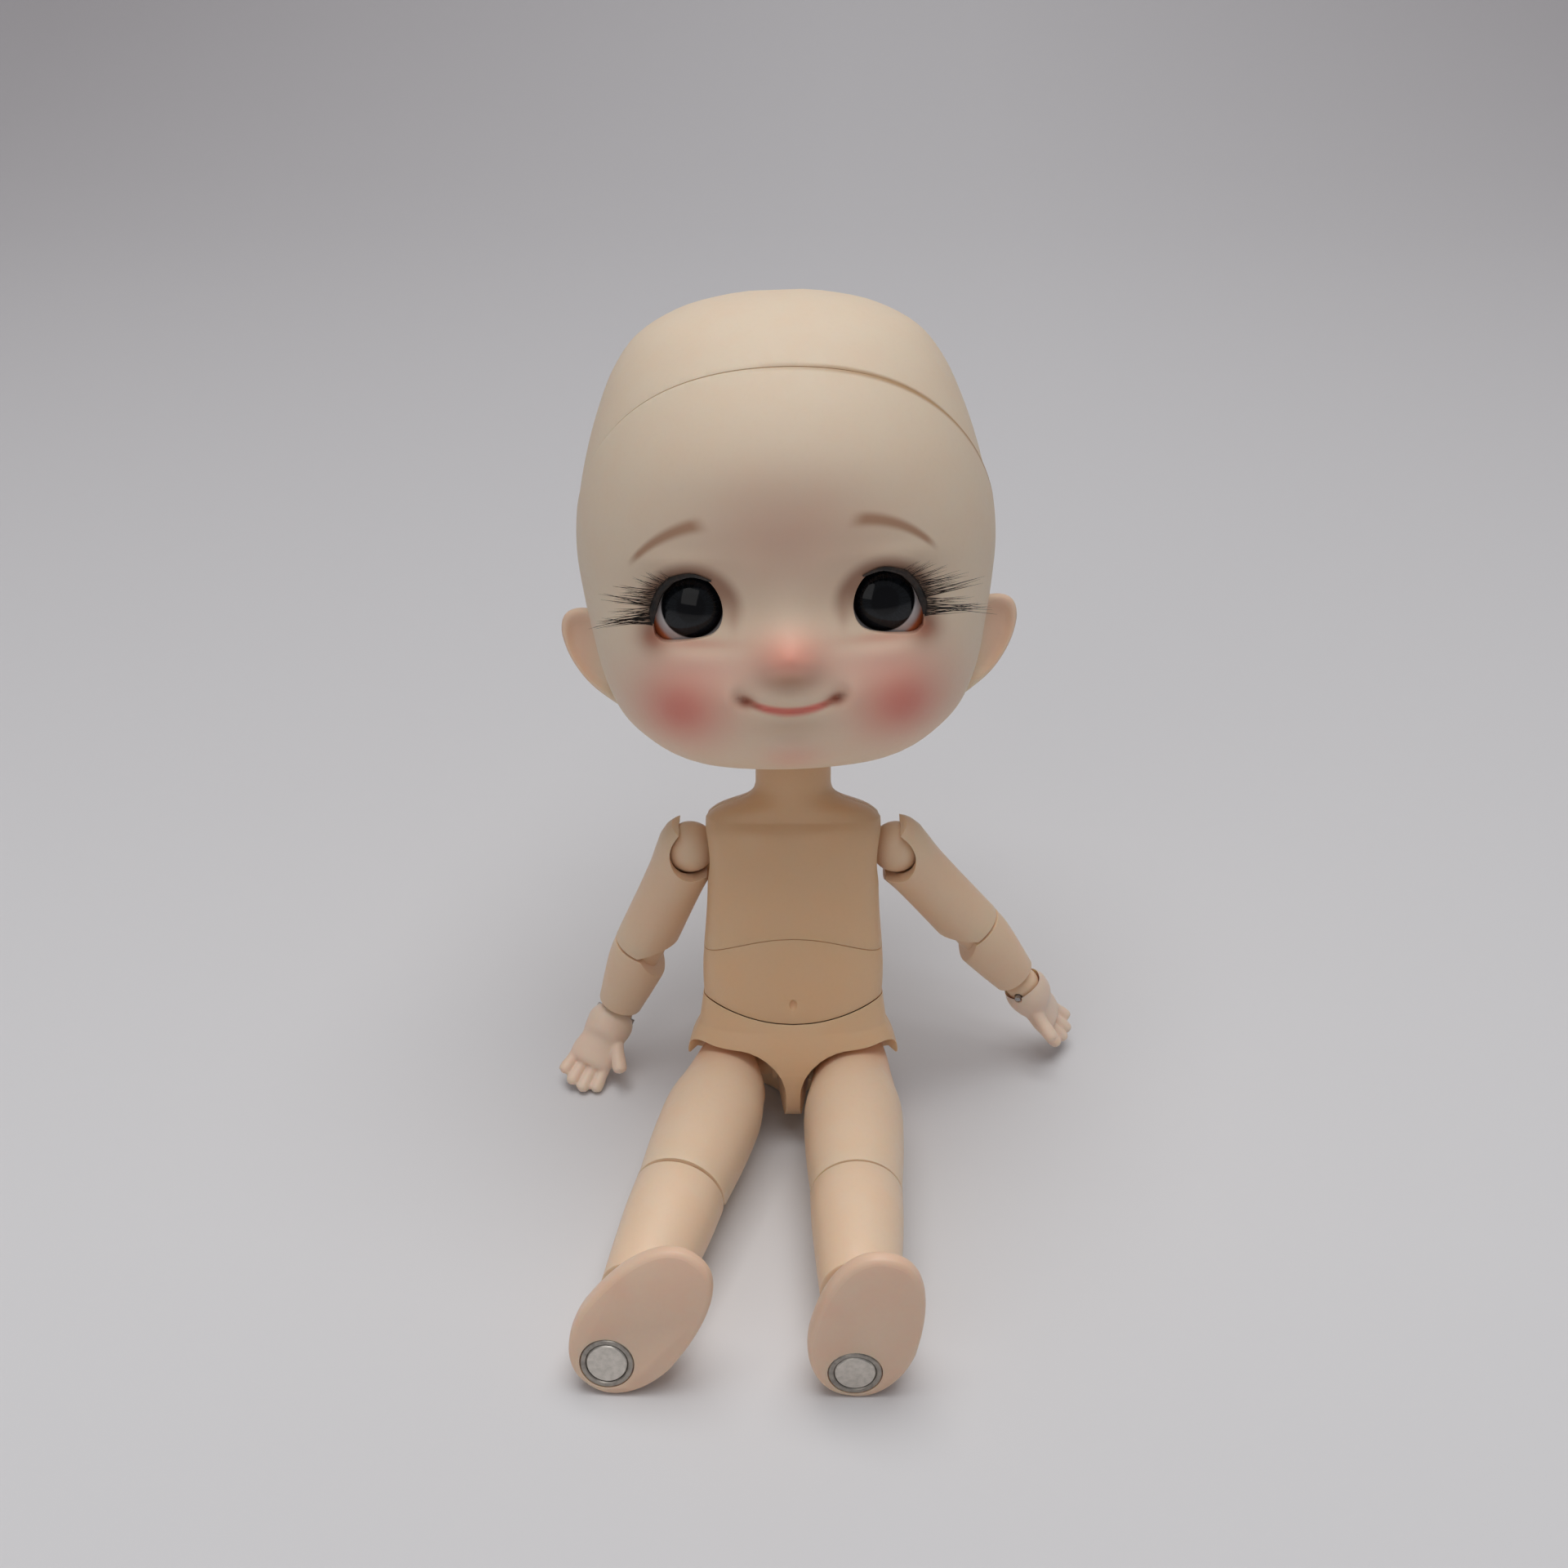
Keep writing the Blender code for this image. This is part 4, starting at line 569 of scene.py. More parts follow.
# Chest: two moulded shells that carry the neck and hold the shoulder balls between them.
# Its lower edge is arched to turn on the abdomen, and the neck's ball sits in the round top of the neck.
chest_half_depth, shoulder_line, neck_base, neck_pivot = 5.9 * mm, 33.6 * mm, 36.4 * mm, 41.6 * mm
neck_radius = 4.1 * mm
chest_marks = [(0.00, 1.000, 0.985), (0.30, 0.965, 1.000), (0.60, 0.955, 1.010), (0.88, 0.985, 0.960),
               (1.00, 0.970, 0.800)]
neck_marks = [(0.00, 1.0, 1.0), (0.35, 0.76, 0.70), (0.72, 0.26, 0.30), (1.00, 0.06, 0.08), (1.30, 0.0, 0.0)]
collar_dip, collar_width = 0.35 * mm, 2.2 * mm
rings = list(reversed(bowl(chest_half_width * chest_marks[0][1], chest_half_depth * chest_marks[0][2], 0.0)))
for height, wide, depth in eased(chest_marks, 26)[1:]:
    ring = outline(chest_half_width * wide, chest_half_depth * depth, chest_half_depth * depth,
                   torso_power, torso_segments)
    for point in ring:
        base = seam_height(point)
        point.z = base + (shoulder_line - base) * height
    rings.append(ring)
span = chest_half_width * chest_marks[-1][1] - neck_radius
reach = chest_half_depth * chest_marks[-1][2] - neck_radius
for height, wide, depth in eased(neck_marks, 20)[1:]:
    ring = outline(neck_radius + span * wide, neck_radius + reach * depth, neck_radius + reach * depth,
                   2.0 + (torso_power - 2.0) * max(wide, 0.0), torso_segments)
    for point in ring:
        point.z = shoulder_line + (neck_base - shoulder_line) * height
    rings.append(ring)
for step in range(9):
    angle = math.radians(10.0 * step)
    level = neck_radius * math.cos(angle)
    ring = outline(level, level, level, 2.0, torso_segments)
    for point in ring:
        point.z = neck_pivot + neck_radius * math.sin(angle)
    rings.append(ring)
for ring in rings:
    for point in ring:
        if point.y < 0.0:
            point.y += collar_dip * math.exp(-(point.x / collar_width) ** 2
                                             - ((point.z - shoulder_line + 1.2 * mm) / (1.6 * mm)) ** 2)
chest = skin(rings)
shoulder_place = Vector((11.3 * mm, 0.8 * mm, 29.8 * mm))
shoulder_peg, shoulder_recess = (1.1 * mm, 0.0, 6.8 * mm), 4.5 * mm
for sign in side_sign.values():
    room = joined(ball(shoulder_recess), moved(peg_room(*shoulder_peg, clearance), turn(-90 * sign, "Y")))
    chest = cut(chest, moved(room, shift(sign * shoulder_place.x, shoulder_place.y, shoulder_place.z)))
hollow = joined(block((-3.8 * mm, 3.8 * mm), (-3.2 * mm, 3.2 * mm), (25.2 * mm, 32.0 * mm)),
                rod(1.64 * mm, seam_middle - overrun, 26.7 * mm))
neck_ball_radius, neck_stem_radius = 2.4 * mm, 1.2 * mm


def sector(low, high, half_width, reach, thickness):
    """Slot tool about X: a stem of the half width that hangs down and swings from low to high, in degrees."""
    low, high = math.radians(low), math.radians(high)
    steps = max(1, round((high - low) / math.radians(6)))
    angles = [low + (high - low) * step / steps for step in range(steps + 1)]
    tips = [Vector((math.sin(a), -math.cos(a))) * reach for a in angles]
    first, last = (Vector((math.cos(a), math.sin(a))) * half_width for a in (low, high))
    middle = 0.5 * (low + high)
    inner = -Vector((math.sin(middle), -math.cos(middle))) * half_width * 0.5
    edge = [-first, tips[0] - first, *tips, tips[-1] + last, last, inner]
    return prism([(point.x, point.y) for point in edge], thickness)


slot_half = neck_stem_radius + clearance
nod_room = moved(joined(ball(neck_ball_radius + ball_clearance),
                        moved(sector(-14, 14, slot_half, 5.6 * mm, 2.0 * slot_half), turn(180, "X"))),
                 shift(z=neck_pivot))
halves("chest", cut(chest, hollow, nod_room), 2.0 * chest_half_width)

# Waist stud, spine pin, neck ball and plate, shoulder stems: small turned plastic parts, seen when the doll
# is posed or opened.
joint_plastic = plastic("joint_plastic", seat, (0.74, 0.56, 0.40), (0.70, 0.50, 0.34), sheen_low=0.38,
                        sheen_high=0.5)[0]


def painted(material, *names):
    """Give a material to pieces that keep their own meshes."""
    for name in names:
        frame["nodes"][name].material_slots[0].material = material


painted(joint_plastic, "waist_link", "spine_pin", "neck_ball", "neck_plate", "right_shoulder_stem",
        "left_shoulder_stem")

# Head shell: thin cast resin, hollow, with the ears moulded on and the crown left open under the cap.
# The face is sculpted in low relief, with the eye openings cut through. Blush and brows are chalk and paint; some
# shade on the face, the ears and the cap's seam is painted in.
head = seat @ shift(z=neck_pivot) @ turn(-2.0, "Y") @ shift(y=-1.6 * mm, z=-0.9 * mm)
head_width, head_depth, head_height, head_wall = 42.4 * mm, 42.6 * mm, 49.0 * mm, 1.7 * mm
head_marks = [
    # height, half width, front reach, back reach
    (0.000, 0.43, 0.36, 0.16), (0.018, 0.57, 0.58, 0.30), (0.055, 0.71, 0.76, 0.44), (0.115, 0.85, 0.875, 0.60),
    (0.20, 0.936, 0.945, 0.76), (0.30, 0.986, 0.965, 0.885), (0.38, 1.018, 0.955, 0.945), (0.47, 1.040, 0.985, 0.985),
    (0.56, 1.028, 1.000, 1.000), (0.66, 0.981, 0.98, 0.985), (0.76, 0.909, 0.895, 0.920), (0.85, 0.817, 0.76, 0.800),
    (0.92, 0.687, 0.60, 0.650), (0.97, 0.472, 0.40, 0.440), (0.993, 0.239, 0.20, 0.230), (1.0, 0.06, 0.05, 0.06)]
fine_marks = eased(head_marks, 900)
eye_middle, eye_rise = 9.33, 18.4
face_relief = [
    # sideways, height, half width, half height, forward, all in millimetres; pairs are mirrored
    (0.0, 13.5, 2.7, 2.3, 2.5), (0.0, 16.8, 2.2, 3.2, 0.35), (0.0, 11.2, 1.7, 0.8, -0.25),
    (1.7, 12.7, 0.9, 0.8, 0.22), (10.2, 8.0, 5.6, 5.4, 1.15), (9.3, 18.2, 4.6, 4.6, -1.3),
    (10.2, 23.2, 4.2, 0.9, 0.28), (9.6, 13.6, 4.0, 1.0, 0.25), (4.95, 9.5, 0.85, 0.8, -0.75),
    (6.2, 9.3, 0.8, 1.4, 0.30), (0.0, 9.5, 3.0, 0.8, 0.28), (0.0, 7.0, 2.3, 0.8, 0.42), (0.0, 5.3, 3.2, 0.9, -0.35),
    (0.0, 3.1, 3.6, 2.2, 0.6), (0.0, 10.5, 0.6, 0.8, -0.12), (3.6, 21.8, 1.8, 2.6, 0.15)]


def mouth_line(x):
    return 8.08 + 1.36 * (x / 4.87) ** 2


def face_forward(x, z):
    """How far the sculpted face stands forward of the plain head, in millimetres."""
    total = 0.0
    for aside, rise, wide, tall, forward in face_relief:
        across = abs(x) - aside if aside else x
        total += forward * math.exp(-(across / wide) ** 2 - ((z - rise) / tall) ** 2)
    return total - 0.5 * math.exp(-((z - mouth_line(x)) / 0.42) ** 2 - (x / 5.3) ** 8)


def share_at(height):
    low, high = 0, len(fine_marks) - 1
    while high - low > 1:
        middle = (low + high) // 2
        low, high = (middle, high) if fine_marks[middle][0] <= height else (low, middle)
    start, end = fine_marks[low], fine_marks[high]
    share = (height - start[0]) / max(end[0] - start[0], 1e-9)
    return [a + (b - a) * share for a, b in zip(start, end)]


def head_form(shrink, around, heights, sculpted):
    scale = [1.0 - 2.0 * shrink / size for size in (head_width, head_depth, head_height)]
    rings = []
    for height in heights:
        _, wide, front, back = share_at(height)
        ring = []
        for step in range(around):
            t = 2.0 * step / around - 1.0
            angle = math.pi * (0.45 * t + 0.55 * t ** 3) if sculpted else math.pi * t
            side, deep = math.sin(angle), -math.cos(angle)
            x = math.copysign(abs(side) ** (2.0 / 2.12), side) * 0.5 * head_width * wide * scale[0]
            y = math.copysign(abs(deep) ** (2.0 / 2.12), deep)
            y *= 0.5 * head_depth * scale[1] * (back if deep > 0.0 else front)
            z = head_height * (0.5 + (height - 0.5) * scale[2])
            if sculpted and deep < 0.0:
                y -= face_forward(x / mm, z / mm) * mm * min(1.0, -deep * 2.5)
            ring.append(Vector((x, y, z)))
        rings.append(ring)
    return skin(rings)


heights = [0.0, 0.003, 0.008, 0.015, 0.025, 0.037, 0.05, 0.063, 0.076]
heights += [0.088 + 0.0082 * step for step in range(63)]
heights += [0.61 + 0.014 * step for step in range(22)]
heights += [0.918, 0.932, 0.945, 0.956, 0.966, 0.975, 0.983, 0.989, 0.994, 0.998]
outer = head_form(0.0, 168, heights, True)
hollow_heights = [0.0, 0.01, 0.03] + [0.05 + 0.03 * step for step in range(31)] + [0.97, 0.99]
hollow = head_form(head_wall, 72, hollow_heights, False)

ear_side, ear_place = 20.3, 10.9
ear_edge = [
    # outward and upward, in millimetres, drawn round the ear from the root above to the lobe below
    (-2.6, 4.4), (-0.6, 5.3), (1.4, 5.8), (2.9, 5.4), (3.6, 3.9), (3.55, 2.0), (3.1, 0.2), (2.3, -1.6), (1.3, -3.1),
    (0.1, -4.4), (-1.0, -5.4), (-2.2, -5.8), (-3.2, -4.6), (-3.6, -2.0), (-3.6, 1.5), (-3.3, 3.4)]
ear_levels = [
    # share of the edge, forward, both about the ear's middle
    (0.35, -1.25), (0.62, -1.20), (0.84, -0.95), (0.95, -0.60), (1.00, -0.15), (0.985, 0.28), (0.93, 0.52),
    (0.86, 0.50), (0.80, 0.22), (0.74, -0.12), (0.62, -0.30), (0.42, -0.34), (0.20, -0.34)]


def ear(sign):
    edge = eased(ear_edge + ear_edge[:1], 49)[:-1]
    middle = Vector((0.15, 0.35, 0.0))
    rings = []
    for share, forward in ear_levels:
        ring = []
        for out, up in edge:
            point = middle.lerp(Vector((out, up, 0.0)), share)
            ring.append(Vector((point.x, -forward, point.y)) * mm)
        rings.append(ring)
    lobe = skin(rings)
    lobe = moved(lobe, turn(11, "Y"), turn(14, "Z"), shift(ear_side * mm, 1.1 * mm, ear_place * mm))
    if sign < 0.0:
        lobe = moved(lobe, Matrix.Scale(-1.0, 4, (1.0, 0.0, 0.0)))
        lobe.flip_normals()
    return lobe


eye_span, eye_turn = 6.6 * mm, 8
lid_edge = [
    # opening of the left eye from the middle of its iris: outward and upward, in millimetres
    (4.05, -2.7), (4.15, -1.5), (3.85, 0.2), (3.2, 1.65), (2.0, 2.8), (0.3, 3.35), (-1.4, 2.85), (-2.45, 1.5),
    (-2.85, -0.1), (-2.6, -1.5), (-1.8, -2.45), (-0.3, -2.95), (1.6, -3.25), (3.2, -3.35)]
drawn_lid = eased(lid_edge + lid_edge[:1], 65)[:-1]


def eye_place(sign):
    back = eye_span + 0.75 * mm
    return shift(sign * ((eye_middle + 0.4) * mm - back * math.sin(math.radians(eye_turn))),
                 back - 0.415 * head_depth, eye_rise * mm) @ turn(sign * eye_turn, "Z")


def eye_opening(sign):
    rings = []
    for y, grow in ((-8.0, 0.96), (-13.0, 0.98), (-15.5, 1.0), (-24.0, 1.06)):
        ring = [Vector((sign * (eye_middle + out * grow), y, eye_rise + up * grow)) * mm
                for out, up in drawn_lid]
        rings.append(ring if sign > 0 else list(reversed(ring)))
    return skin(rings)


cap_tilt = math.radians(46)
cap_normal = Vector((0.0, math.sin(cap_tilt), math.cos(cap_tilt)))
cap_offset = cap_normal.z * (0.5 * head_height + 0.1 * mm)
cap_seam, seam_shown = 0.3 * mm, 0.12 * mm
across = Vector((0.0, -math.cos(cap_tilt), math.sin(cap_tilt)))
magnet_spot = (Vector((0.0, 0.0, 0.5 * head_height)) + cap_normal * (cap_offset - cap_normal.z * 0.5 * head_height)
               + across * 0.404 * head_height)
cap_facing = cap_normal.to_track_quat("Z", "Y").to_matrix().to_4x4()
magnet_radius, magnet_pocket = 1.5 * mm, 1.6 * mm
boss_radius = magnet_radius + 0.45 * head_wall


def at_magnet(mesh, lift=0.0):
    """A form set square to the cap's seam, where the crown magnets meet."""
    return moved(mesh, cap_facing, Matrix.Translation(magnet_spot + cap_normal * lift))


low_boss = at_magnet(rod(boss_radius, -1.1 * head_wall, overrun))
low_pocket = at_magnet(rod(magnet_radius + pin_clearance, -magnet_pocket, overrun))
neck_flare = 2.34 * mm
neck_hole = moved(joined(ball(neck_radius + clearance), lathe([
    (neck_radius + 0.5 * clearance, 0.0), (neck_radius + neck_flare, -neck_flare)])),
    shift(y=1.6 * mm, z=0.9 * mm))
plate_seat = moved(rod(6.7 * mm, 1.45 * head_wall, 0.3 * head_height, 48), shift(y=1.6 * mm))
rooms = joined(hollow, plate_seat, neck_hole)
for sign in side_sign.values():
    rooms = joined(rooms, moved(ball(eye_span + 0.12 * mm), eye_place(sign)), eye_opening(sign))
shell = cut(joined(outer, ear(-1.0), ear(1.0)), rooms)
shell = cut(joined(shell, low_boss), beyond(cap_normal, cap_offset, 1.2 * head_height), low_pocket)


def length(tree, vector):
    return node(tree, "ShaderNodeVectorMath", {0: vector}, operation="LENGTH").outputs["Value"]


def dab(tree, vector, x, z, wide, tall):
    """Weight of a soft round touch, one at its middle; it lays both chalk and painted shade."""
    far = length(tree, about(tree, vector, (x, 0.0, z), (0.0, 0.0, 0.0), (wide, 1.0e4, tall)))
    return reckoned(tree, "EXPONENT", product(tree, far, far, -1.0))


def stroke(tree, vector, middle, tilt, half, bend, start, end):
    """Weight of a bowed brush stroke: half length, bow, and its half thickness at the start and the end."""
    x, _, z = parted(tree, about(tree, vector, (middle[0], 0.0, middle[1]), (0.0, math.radians(tilt), 0.0),
                                 (1.0, 1.0, 1.0)))
    along = reckoned(tree, "DIVIDE", x, half)
    bow = product(tree, reckoned(tree, "SUBTRACT", 1.0, product(tree, along, along)), bend)
    off = reckoned(tree, "ABSOLUTE", reckoned(tree, "SUBTRACT", z, bow))
    thick = spread(tree, along, -1.0, 1.0, start, end, smooth=False)
    body = spread(tree, reckoned(tree, "DIVIDE", off, thick), 0.15, 1.25, 1.0, 0.0)
    ends = spread(tree, reckoned(tree, "ABSOLUTE", along), 0.66, 1.08, 1.0, 0.0)
    return product(tree, body, ends)


head_resin, tree, vector, tint = plastic("head_resin", head, (0.825, 0.682, 0.520), (0.83, 0.65, 0.48),
                                         soft=0.16, sheen_low=0.55, sheen_high=0.68, bump=0.04)
x, y, z = parted(tree, vector)
off_middle = reckoned(tree, "ABSOLUTE", x)
both = node(tree, "ShaderNodeCombineXYZ", {"X": off_middle, "Y": y, "Z": z}).outputs[0]
ahead = spread(tree, y, -8.0, -3.0, 1.0, 0.0)
for aside, rise, wide, tall, strength, colour in (
        # chalk and painted shade on the face: place, spread and strength of each touch, then its colour
        # the two touches over the forehead are painted shade where the face turns down from the light above; the
        # smaller is also a pink chalk blush
        (0.0, 26.0, 14.0, 7.0, 0.36, (0.50, 0.32, 0.24)), (0.0, 25.5, 7.5, 5.5, 0.36, (0.50, 0.23, 0.17)),
        (9.6, 20.2, 6.2, 4.0, 0.22, (0.70, 0.46, 0.30)),
        (8.0, 12.5, 5.6, 1.7, 0.38, (0.88, 0.48, 0.40)), (10.9, 8.6, 5.3, 4.6, 0.84, (0.77, 0.25, 0.195)),
        (11.3, 8.1, 2.4, 2.2, 0.34, (0.66, 0.15, 0.12)), (0.0, 13.8, 3.9, 2.6, 0.84, (0.88, 0.35, 0.26)),
        # the two brown touches under the nose and under the lower lip are painted shadow
        (0.0, 11.3, 2.9, 1.1, 0.66, (0.40, 0.20, 0.12)), (0.0, 6.6, 3.6, 1.5, 0.42, (0.50, 0.30, 0.20)),
        (0.0, 3.0, 3.2, 1.9, 0.48, (0.82, 0.38, 0.30)), (4.45, 9.15, 0.85, 0.62, 0.90, (0.30, 0.07, 0.035)),
        (13.6, 15.6, 1.5, 1.7, 0.85, (0.34, 0.10, 0.05)), (9.3, 15.0, 3.8, 0.55, 0.45, (0.62, 0.22, 0.15)),
        (5.4, 17.6, 0.55, 1.5, 0.45, (0.55, 0.33, 0.24))):
    tint = mixed(tree, product(tree, dab(tree, both, aside, rise, wide, tall), ahead, strength), tint, colour)
# a dark ring of shadow paint follows each upper lid
far = length(tree, about(tree, both, (eye_middle + 0.3, 0.0, eye_rise - 0.2), (0.0, 0.0, 0.0),
                         (4.35, 1.0e4, 4.0)))
above = spread(tree, reckoned(tree, "SUBTRACT", z, eye_rise), -2.5, 2.0)
shadow = product(tree, spread(tree, far, 0.98, 1.34, 1.0, 0.0), above, ahead, 0.80)
tint = mixed(tree, shadow, tint, (0.26, 0.11, 0.06))
for half_face, middle, tilt, half, bend in (
        (spread(tree, x, -0.5, 0.5, 1.0, 0.0), (11.7, 24.83), 27.8, 4.5, 0.8),
        (spread(tree, x, -0.5, 0.5), (10.6, 25.1), 21.8, 4.7, 1.12)):
    brow = product(tree, stroke(tree, both, middle, tilt, half, bend, 0.98, 0.36), half_face, ahead, 0.78)
    tint = mixed(tree, brow, tint, (0.37, 0.175, 0.09))
lips = product(tree, stroke(tree, vector, (0.0, 9.44), 0.0, 4.8, -1.36, 0.56, 0.56), ahead, 0.85)
lip_paint = mixed(tree, spread(tree, off_middle, 2.4, 4.4), (0.83, 0.19, 0.15), (0.42, 0.11, 0.05))
tint = mixed(tree, lips, tint, lip_paint)
# painted shadow along the sawn seam between head and cap, most on the doll's left
level = reckoned(tree, "ADD", product(tree, y, cap_normal.y), product(tree, z, cap_normal.z))
off_seam = reckoned(tree, "SUBTRACT", level, (cap_offset + 0.5 * seam_shown) / mm)
painted_seam_shadow = spread(tree, reckoned(tree, "ABSOLUTE", off_seam), 0.12, 0.62, 1.0, 0.0)
tint = mixed(tree, product(tree, painted_seam_shadow, spread(tree, x, -9.0, 14.0), 0.85), tint, (0.40, 0.22, 0.09))
# the ears are painted pinker below their top rim: ear blush, and painted shade in the ear's bowl
ears = product(tree, spread(tree, off_middle, 19.6, 22.4), spread(tree, z, 15.5, 17.5, 1.0, 0.0), 0.55)
tint = mixed(tree, ears, tint, (0.80, 0.50, 0.36))
tree.links.new(tint, tree.nodes["Principled BSDF"].inputs["Base Color"])
settled("head_shell_cast", shell, head, "head", head_resin, "head_resin", "head_shell", edge=0.12 * mm, sharp=50)

# Head cap: the crown of the same casting, sawn off along a slant and held on by a magnet over the forehead.
# It sits flush on the doll's right and a little inside the head's edge on its left.
high_boss = at_magnet(rod(boss_radius, -overrun, 1.1 * head_wall), cap_seam)
high_pocket = at_magnet(rod(magnet_radius + pin_clearance, -overrun, magnet_pocket), cap_seam)
crown = cut(moved(outer, Matrix.Scale(0.988, 4, (1.0, 0.0, 0.0)), shift(x=-0.14 * mm)), hollow)
crown = cut(joined(crown, high_boss), beyond(-cap_normal, -cap_offset - seam_shown, 1.2 * head_height),
            high_pocket)
settled("head_cap_cast", crown, head, "cap", head_resin, "head_resin", "head_cap", edge=0.10 * mm, sharp=50)


def metal(name, where, bright, dark, gloss):
    """Plated or turned metal with fine handling marks."""
    material, tree, shader = blank(name)
    vector = local_millimetres(tree, where)
    tint = mixed(tree, spread(tree, grain(tree, vector, 1.6, 5.0), 0.35, 0.7), bright, dark)
    surfaced(tree, vector, tint, (9.0, 3.0, gloss, gloss + 0.16), (14.0, 3.0, 0.08, 0.02))
    shader.inputs["Metallic"].default_value = 0.85
    return material


painted(metal("crown_magnet_nickel", head, (0.62, 0.63, 0.64), (0.45, 0.46, 0.48), 0.22),
        "head_magnet", "cap_magnet")

# Eyes: black acrylic domes with a dark painted iris, pressed into putty behind the face.
# The white is greyed, and a red line of lid paint shows at its rim.


def arc(radius, angles):
    """Profile points on a circle, at angles in degrees from straight up."""
    return [(radius * math.sin(math.radians(a)), radius * math.cos(math.radians(a))) for a in angles]


for side, sign in side_sign.items():
    eye_frame = head @ eye_place(sign) @ turn(90, "X")
    dome = [(0.0, 1.02 * eye_span)]
    for angle in range(4, 93, 4):
        dome += arc(eye_span * (1.0 + 0.02 * max(0.0, 1.0 - (angle / 30.0) ** 2)), [angle])
    dome += [(0.96 * eye_span, -0.22 * eye_span), (0.92 * eye_span, -0.28 * eye_span)]
    paint, tree, shader = blank(side + "_eye")
    vector = local_millimetres(tree, eye_frame)
    x, y, _ = parted(tree, vector)
    flat = reckoned(tree, "POWER", reckoned(tree, "ADD", product(tree, x, x), product(tree, y, y)), 0.5)
    around = node(tree, "ShaderNodeCombineXYZ", {"X": product(tree, reckoned(tree, "ARCTAN2", y, x), 4.0),
                                                 "Y": product(tree, flat, 0.25)}).outputs[0]
    spokes = node(tree, "ShaderNodeTexNoise", {"Vector": around, "Scale": 2.6, "Detail": 4.0}).outputs[0]
    iris = mixed(tree, spread(tree, spokes, 0.35, 0.7), (0.004, 0.005, 0.006), (0.010, 0.012, 0.015))
    # the lower part of the iris is painted lighter: a painted reflection of the pale floor
    painted_floor_reflection = product(tree, spread(tree, y, -2.8, 0.6, 1.0, 0.0), 0.45)
    tint = (0.002, 0.002, 0.003)
    for near, far, colour in (
            # from the pupil outward: where each ring's colour starts and where it is full, in millimetres
            (1.25, 1.7, mixed(tree, painted_floor_reflection, iris, (0.020, 0.023, 0.029))), (2.5, 3.0, (0.003, 0.003, 0.004)),
            (3.05, 3.25, (0.66, 0.62, 0.62)), (3.75, 4.35, (0.76, 0.25, 0.10))):
        tint = mixed(tree, spread(tree, flat, near, far), tint, colour)
    surfaced(tree, vector, tint, (0.9, 3.0, 0.05, 0.11), (1.8, 3.0, 0.03, 0.02))
    shader.inputs["Specular IOR Level"].default_value = 0.3
    settled(side + "_eye_dome", lathe(dome, 64), eye_frame, "head", paint, "eye_acrylic", side + "_eye",
            edge=0.0)
painted(plastic("eye_putty", head, (0.62, 0.55, 0.47), (0.55, 0.47, 0.40), sheen_low=0.7, sheen_high=0.9,
                bump=0.35)[0], "right_eye_putty", "left_eye_putty")

# Lashes: a black band of bound fibre glued along the outer lid, with clumps of dark brown hair swept out of it.
# They are strongest at the outer corner and fall away over the middle of the lid.
lash_black, tree, shader = blank("lash_hair")
vector = local_millimetres(tree, head)
tint = mixed(tree, spread(tree, grain(tree, vector, 1.1), 0.35, 0.7), (0.005, 0.004, 0.003),
             (0.038, 0.022, 0.015))
surfaced(tree, vector, tint, (3.0, 3.0, 0.42, 0.62), (12.0, 3.0, 0.2, 0.03))


def face_at(x, z):
    """Point on the face for a place given in millimetres across and up."""
    _, wide, front, _ = share_at(z * mm / head_height)
    side = min(abs(x) * mm / (0.5 * head_width * wide), 0.999) ** 2.12
    reach = 0.5 * head_depth * front * (1.0 - side) ** (1.0 / 2.12)
    return Vector((x * mm, -reach - face_forward(x, z) * mm, z * mm))


def lid_point(sign, out, up, forward):
    """Point before the skin at a place given in millimetres outward and upward from the middle of the eye."""
    return face_at(sign * (eye_middle + out), eye_rise + up) + Vector((0.0, -forward, 0.0)) * mm


def tube(points, radii, sides=8):
    """Round cord through points, with its own radius at each."""
    rings = []
    for index, (point, radius) in enumerate(zip(points, radii)):
        ahead = (points[min(index + 1, len(points) - 1)] - points[max(index - 1, 0)]).normalized()
        across_way = ahead.cross(Vector((0.0, 1.0, 0.2))).normalized()
        up_way = across_way.cross(ahead)
        angles = [math.tau * s / sides for s in range(sides)]
        rings.append([point + (across_way * math.cos(a) + up_way * math.sin(a)) * radius for a in angles])
    return skin(rings)


strand_rings = []
for step in range(7):
    share = step / 6
    width = 0.0075 * (1.0 - share) ** 0.8 + 0.0008
    strand_rings.append([Vector((0.20 * share ** 2 + width * math.cos(math.tau * s / 4),
                                 width * math.sin(math.tau * s / 4), share)) for s in range(4)])
strand = linked("strand", skin(strand_rings))
lashes = bpy.data.node_groups.new("lashes", "GeometryNodeTree")
for label, kind, way in (("Roots", "Geometry", "INPUT"), ("Strand", "Object", "INPUT"),
                         ("Hair", "Material", "INPUT"), ("Ruffle", "Float", "INPUT"), ("Seed", "Int", "INPUT"),
                         ("Lashes", "Geometry", "OUTPUT")):
    lashes.interface.new_socket(label, in_out=way, socket_type="NodeSocket" + kind)
given = node(lashes, "NodeGroupInput").outputs
aim, reach = (node(lashes, "GeometryNodeInputNamedAttribute", {"Name": label},
                   data_type="FLOAT_VECTOR").outputs["Attribute"] for label in ("aim", "reach"))
carried = node(lashes, "GeometryNodeObjectInfo", {"Object": given["Strand"]}).outputs["Geometry"]
chance = node(lashes, "FunctionNodeRandomValue", {"Min": (-1.0, -1.0, -1.0), "Max": (1.0, 1.0, 1.0),
                                                  "Seed": given["Seed"]}, data_type="FLOAT_VECTOR").outputs[0]
ruffled = node(lashes, "ShaderNodeVectorMath", {0: chance, "Scale": given["Ruffle"]}, operation="SCALE").outputs[0]
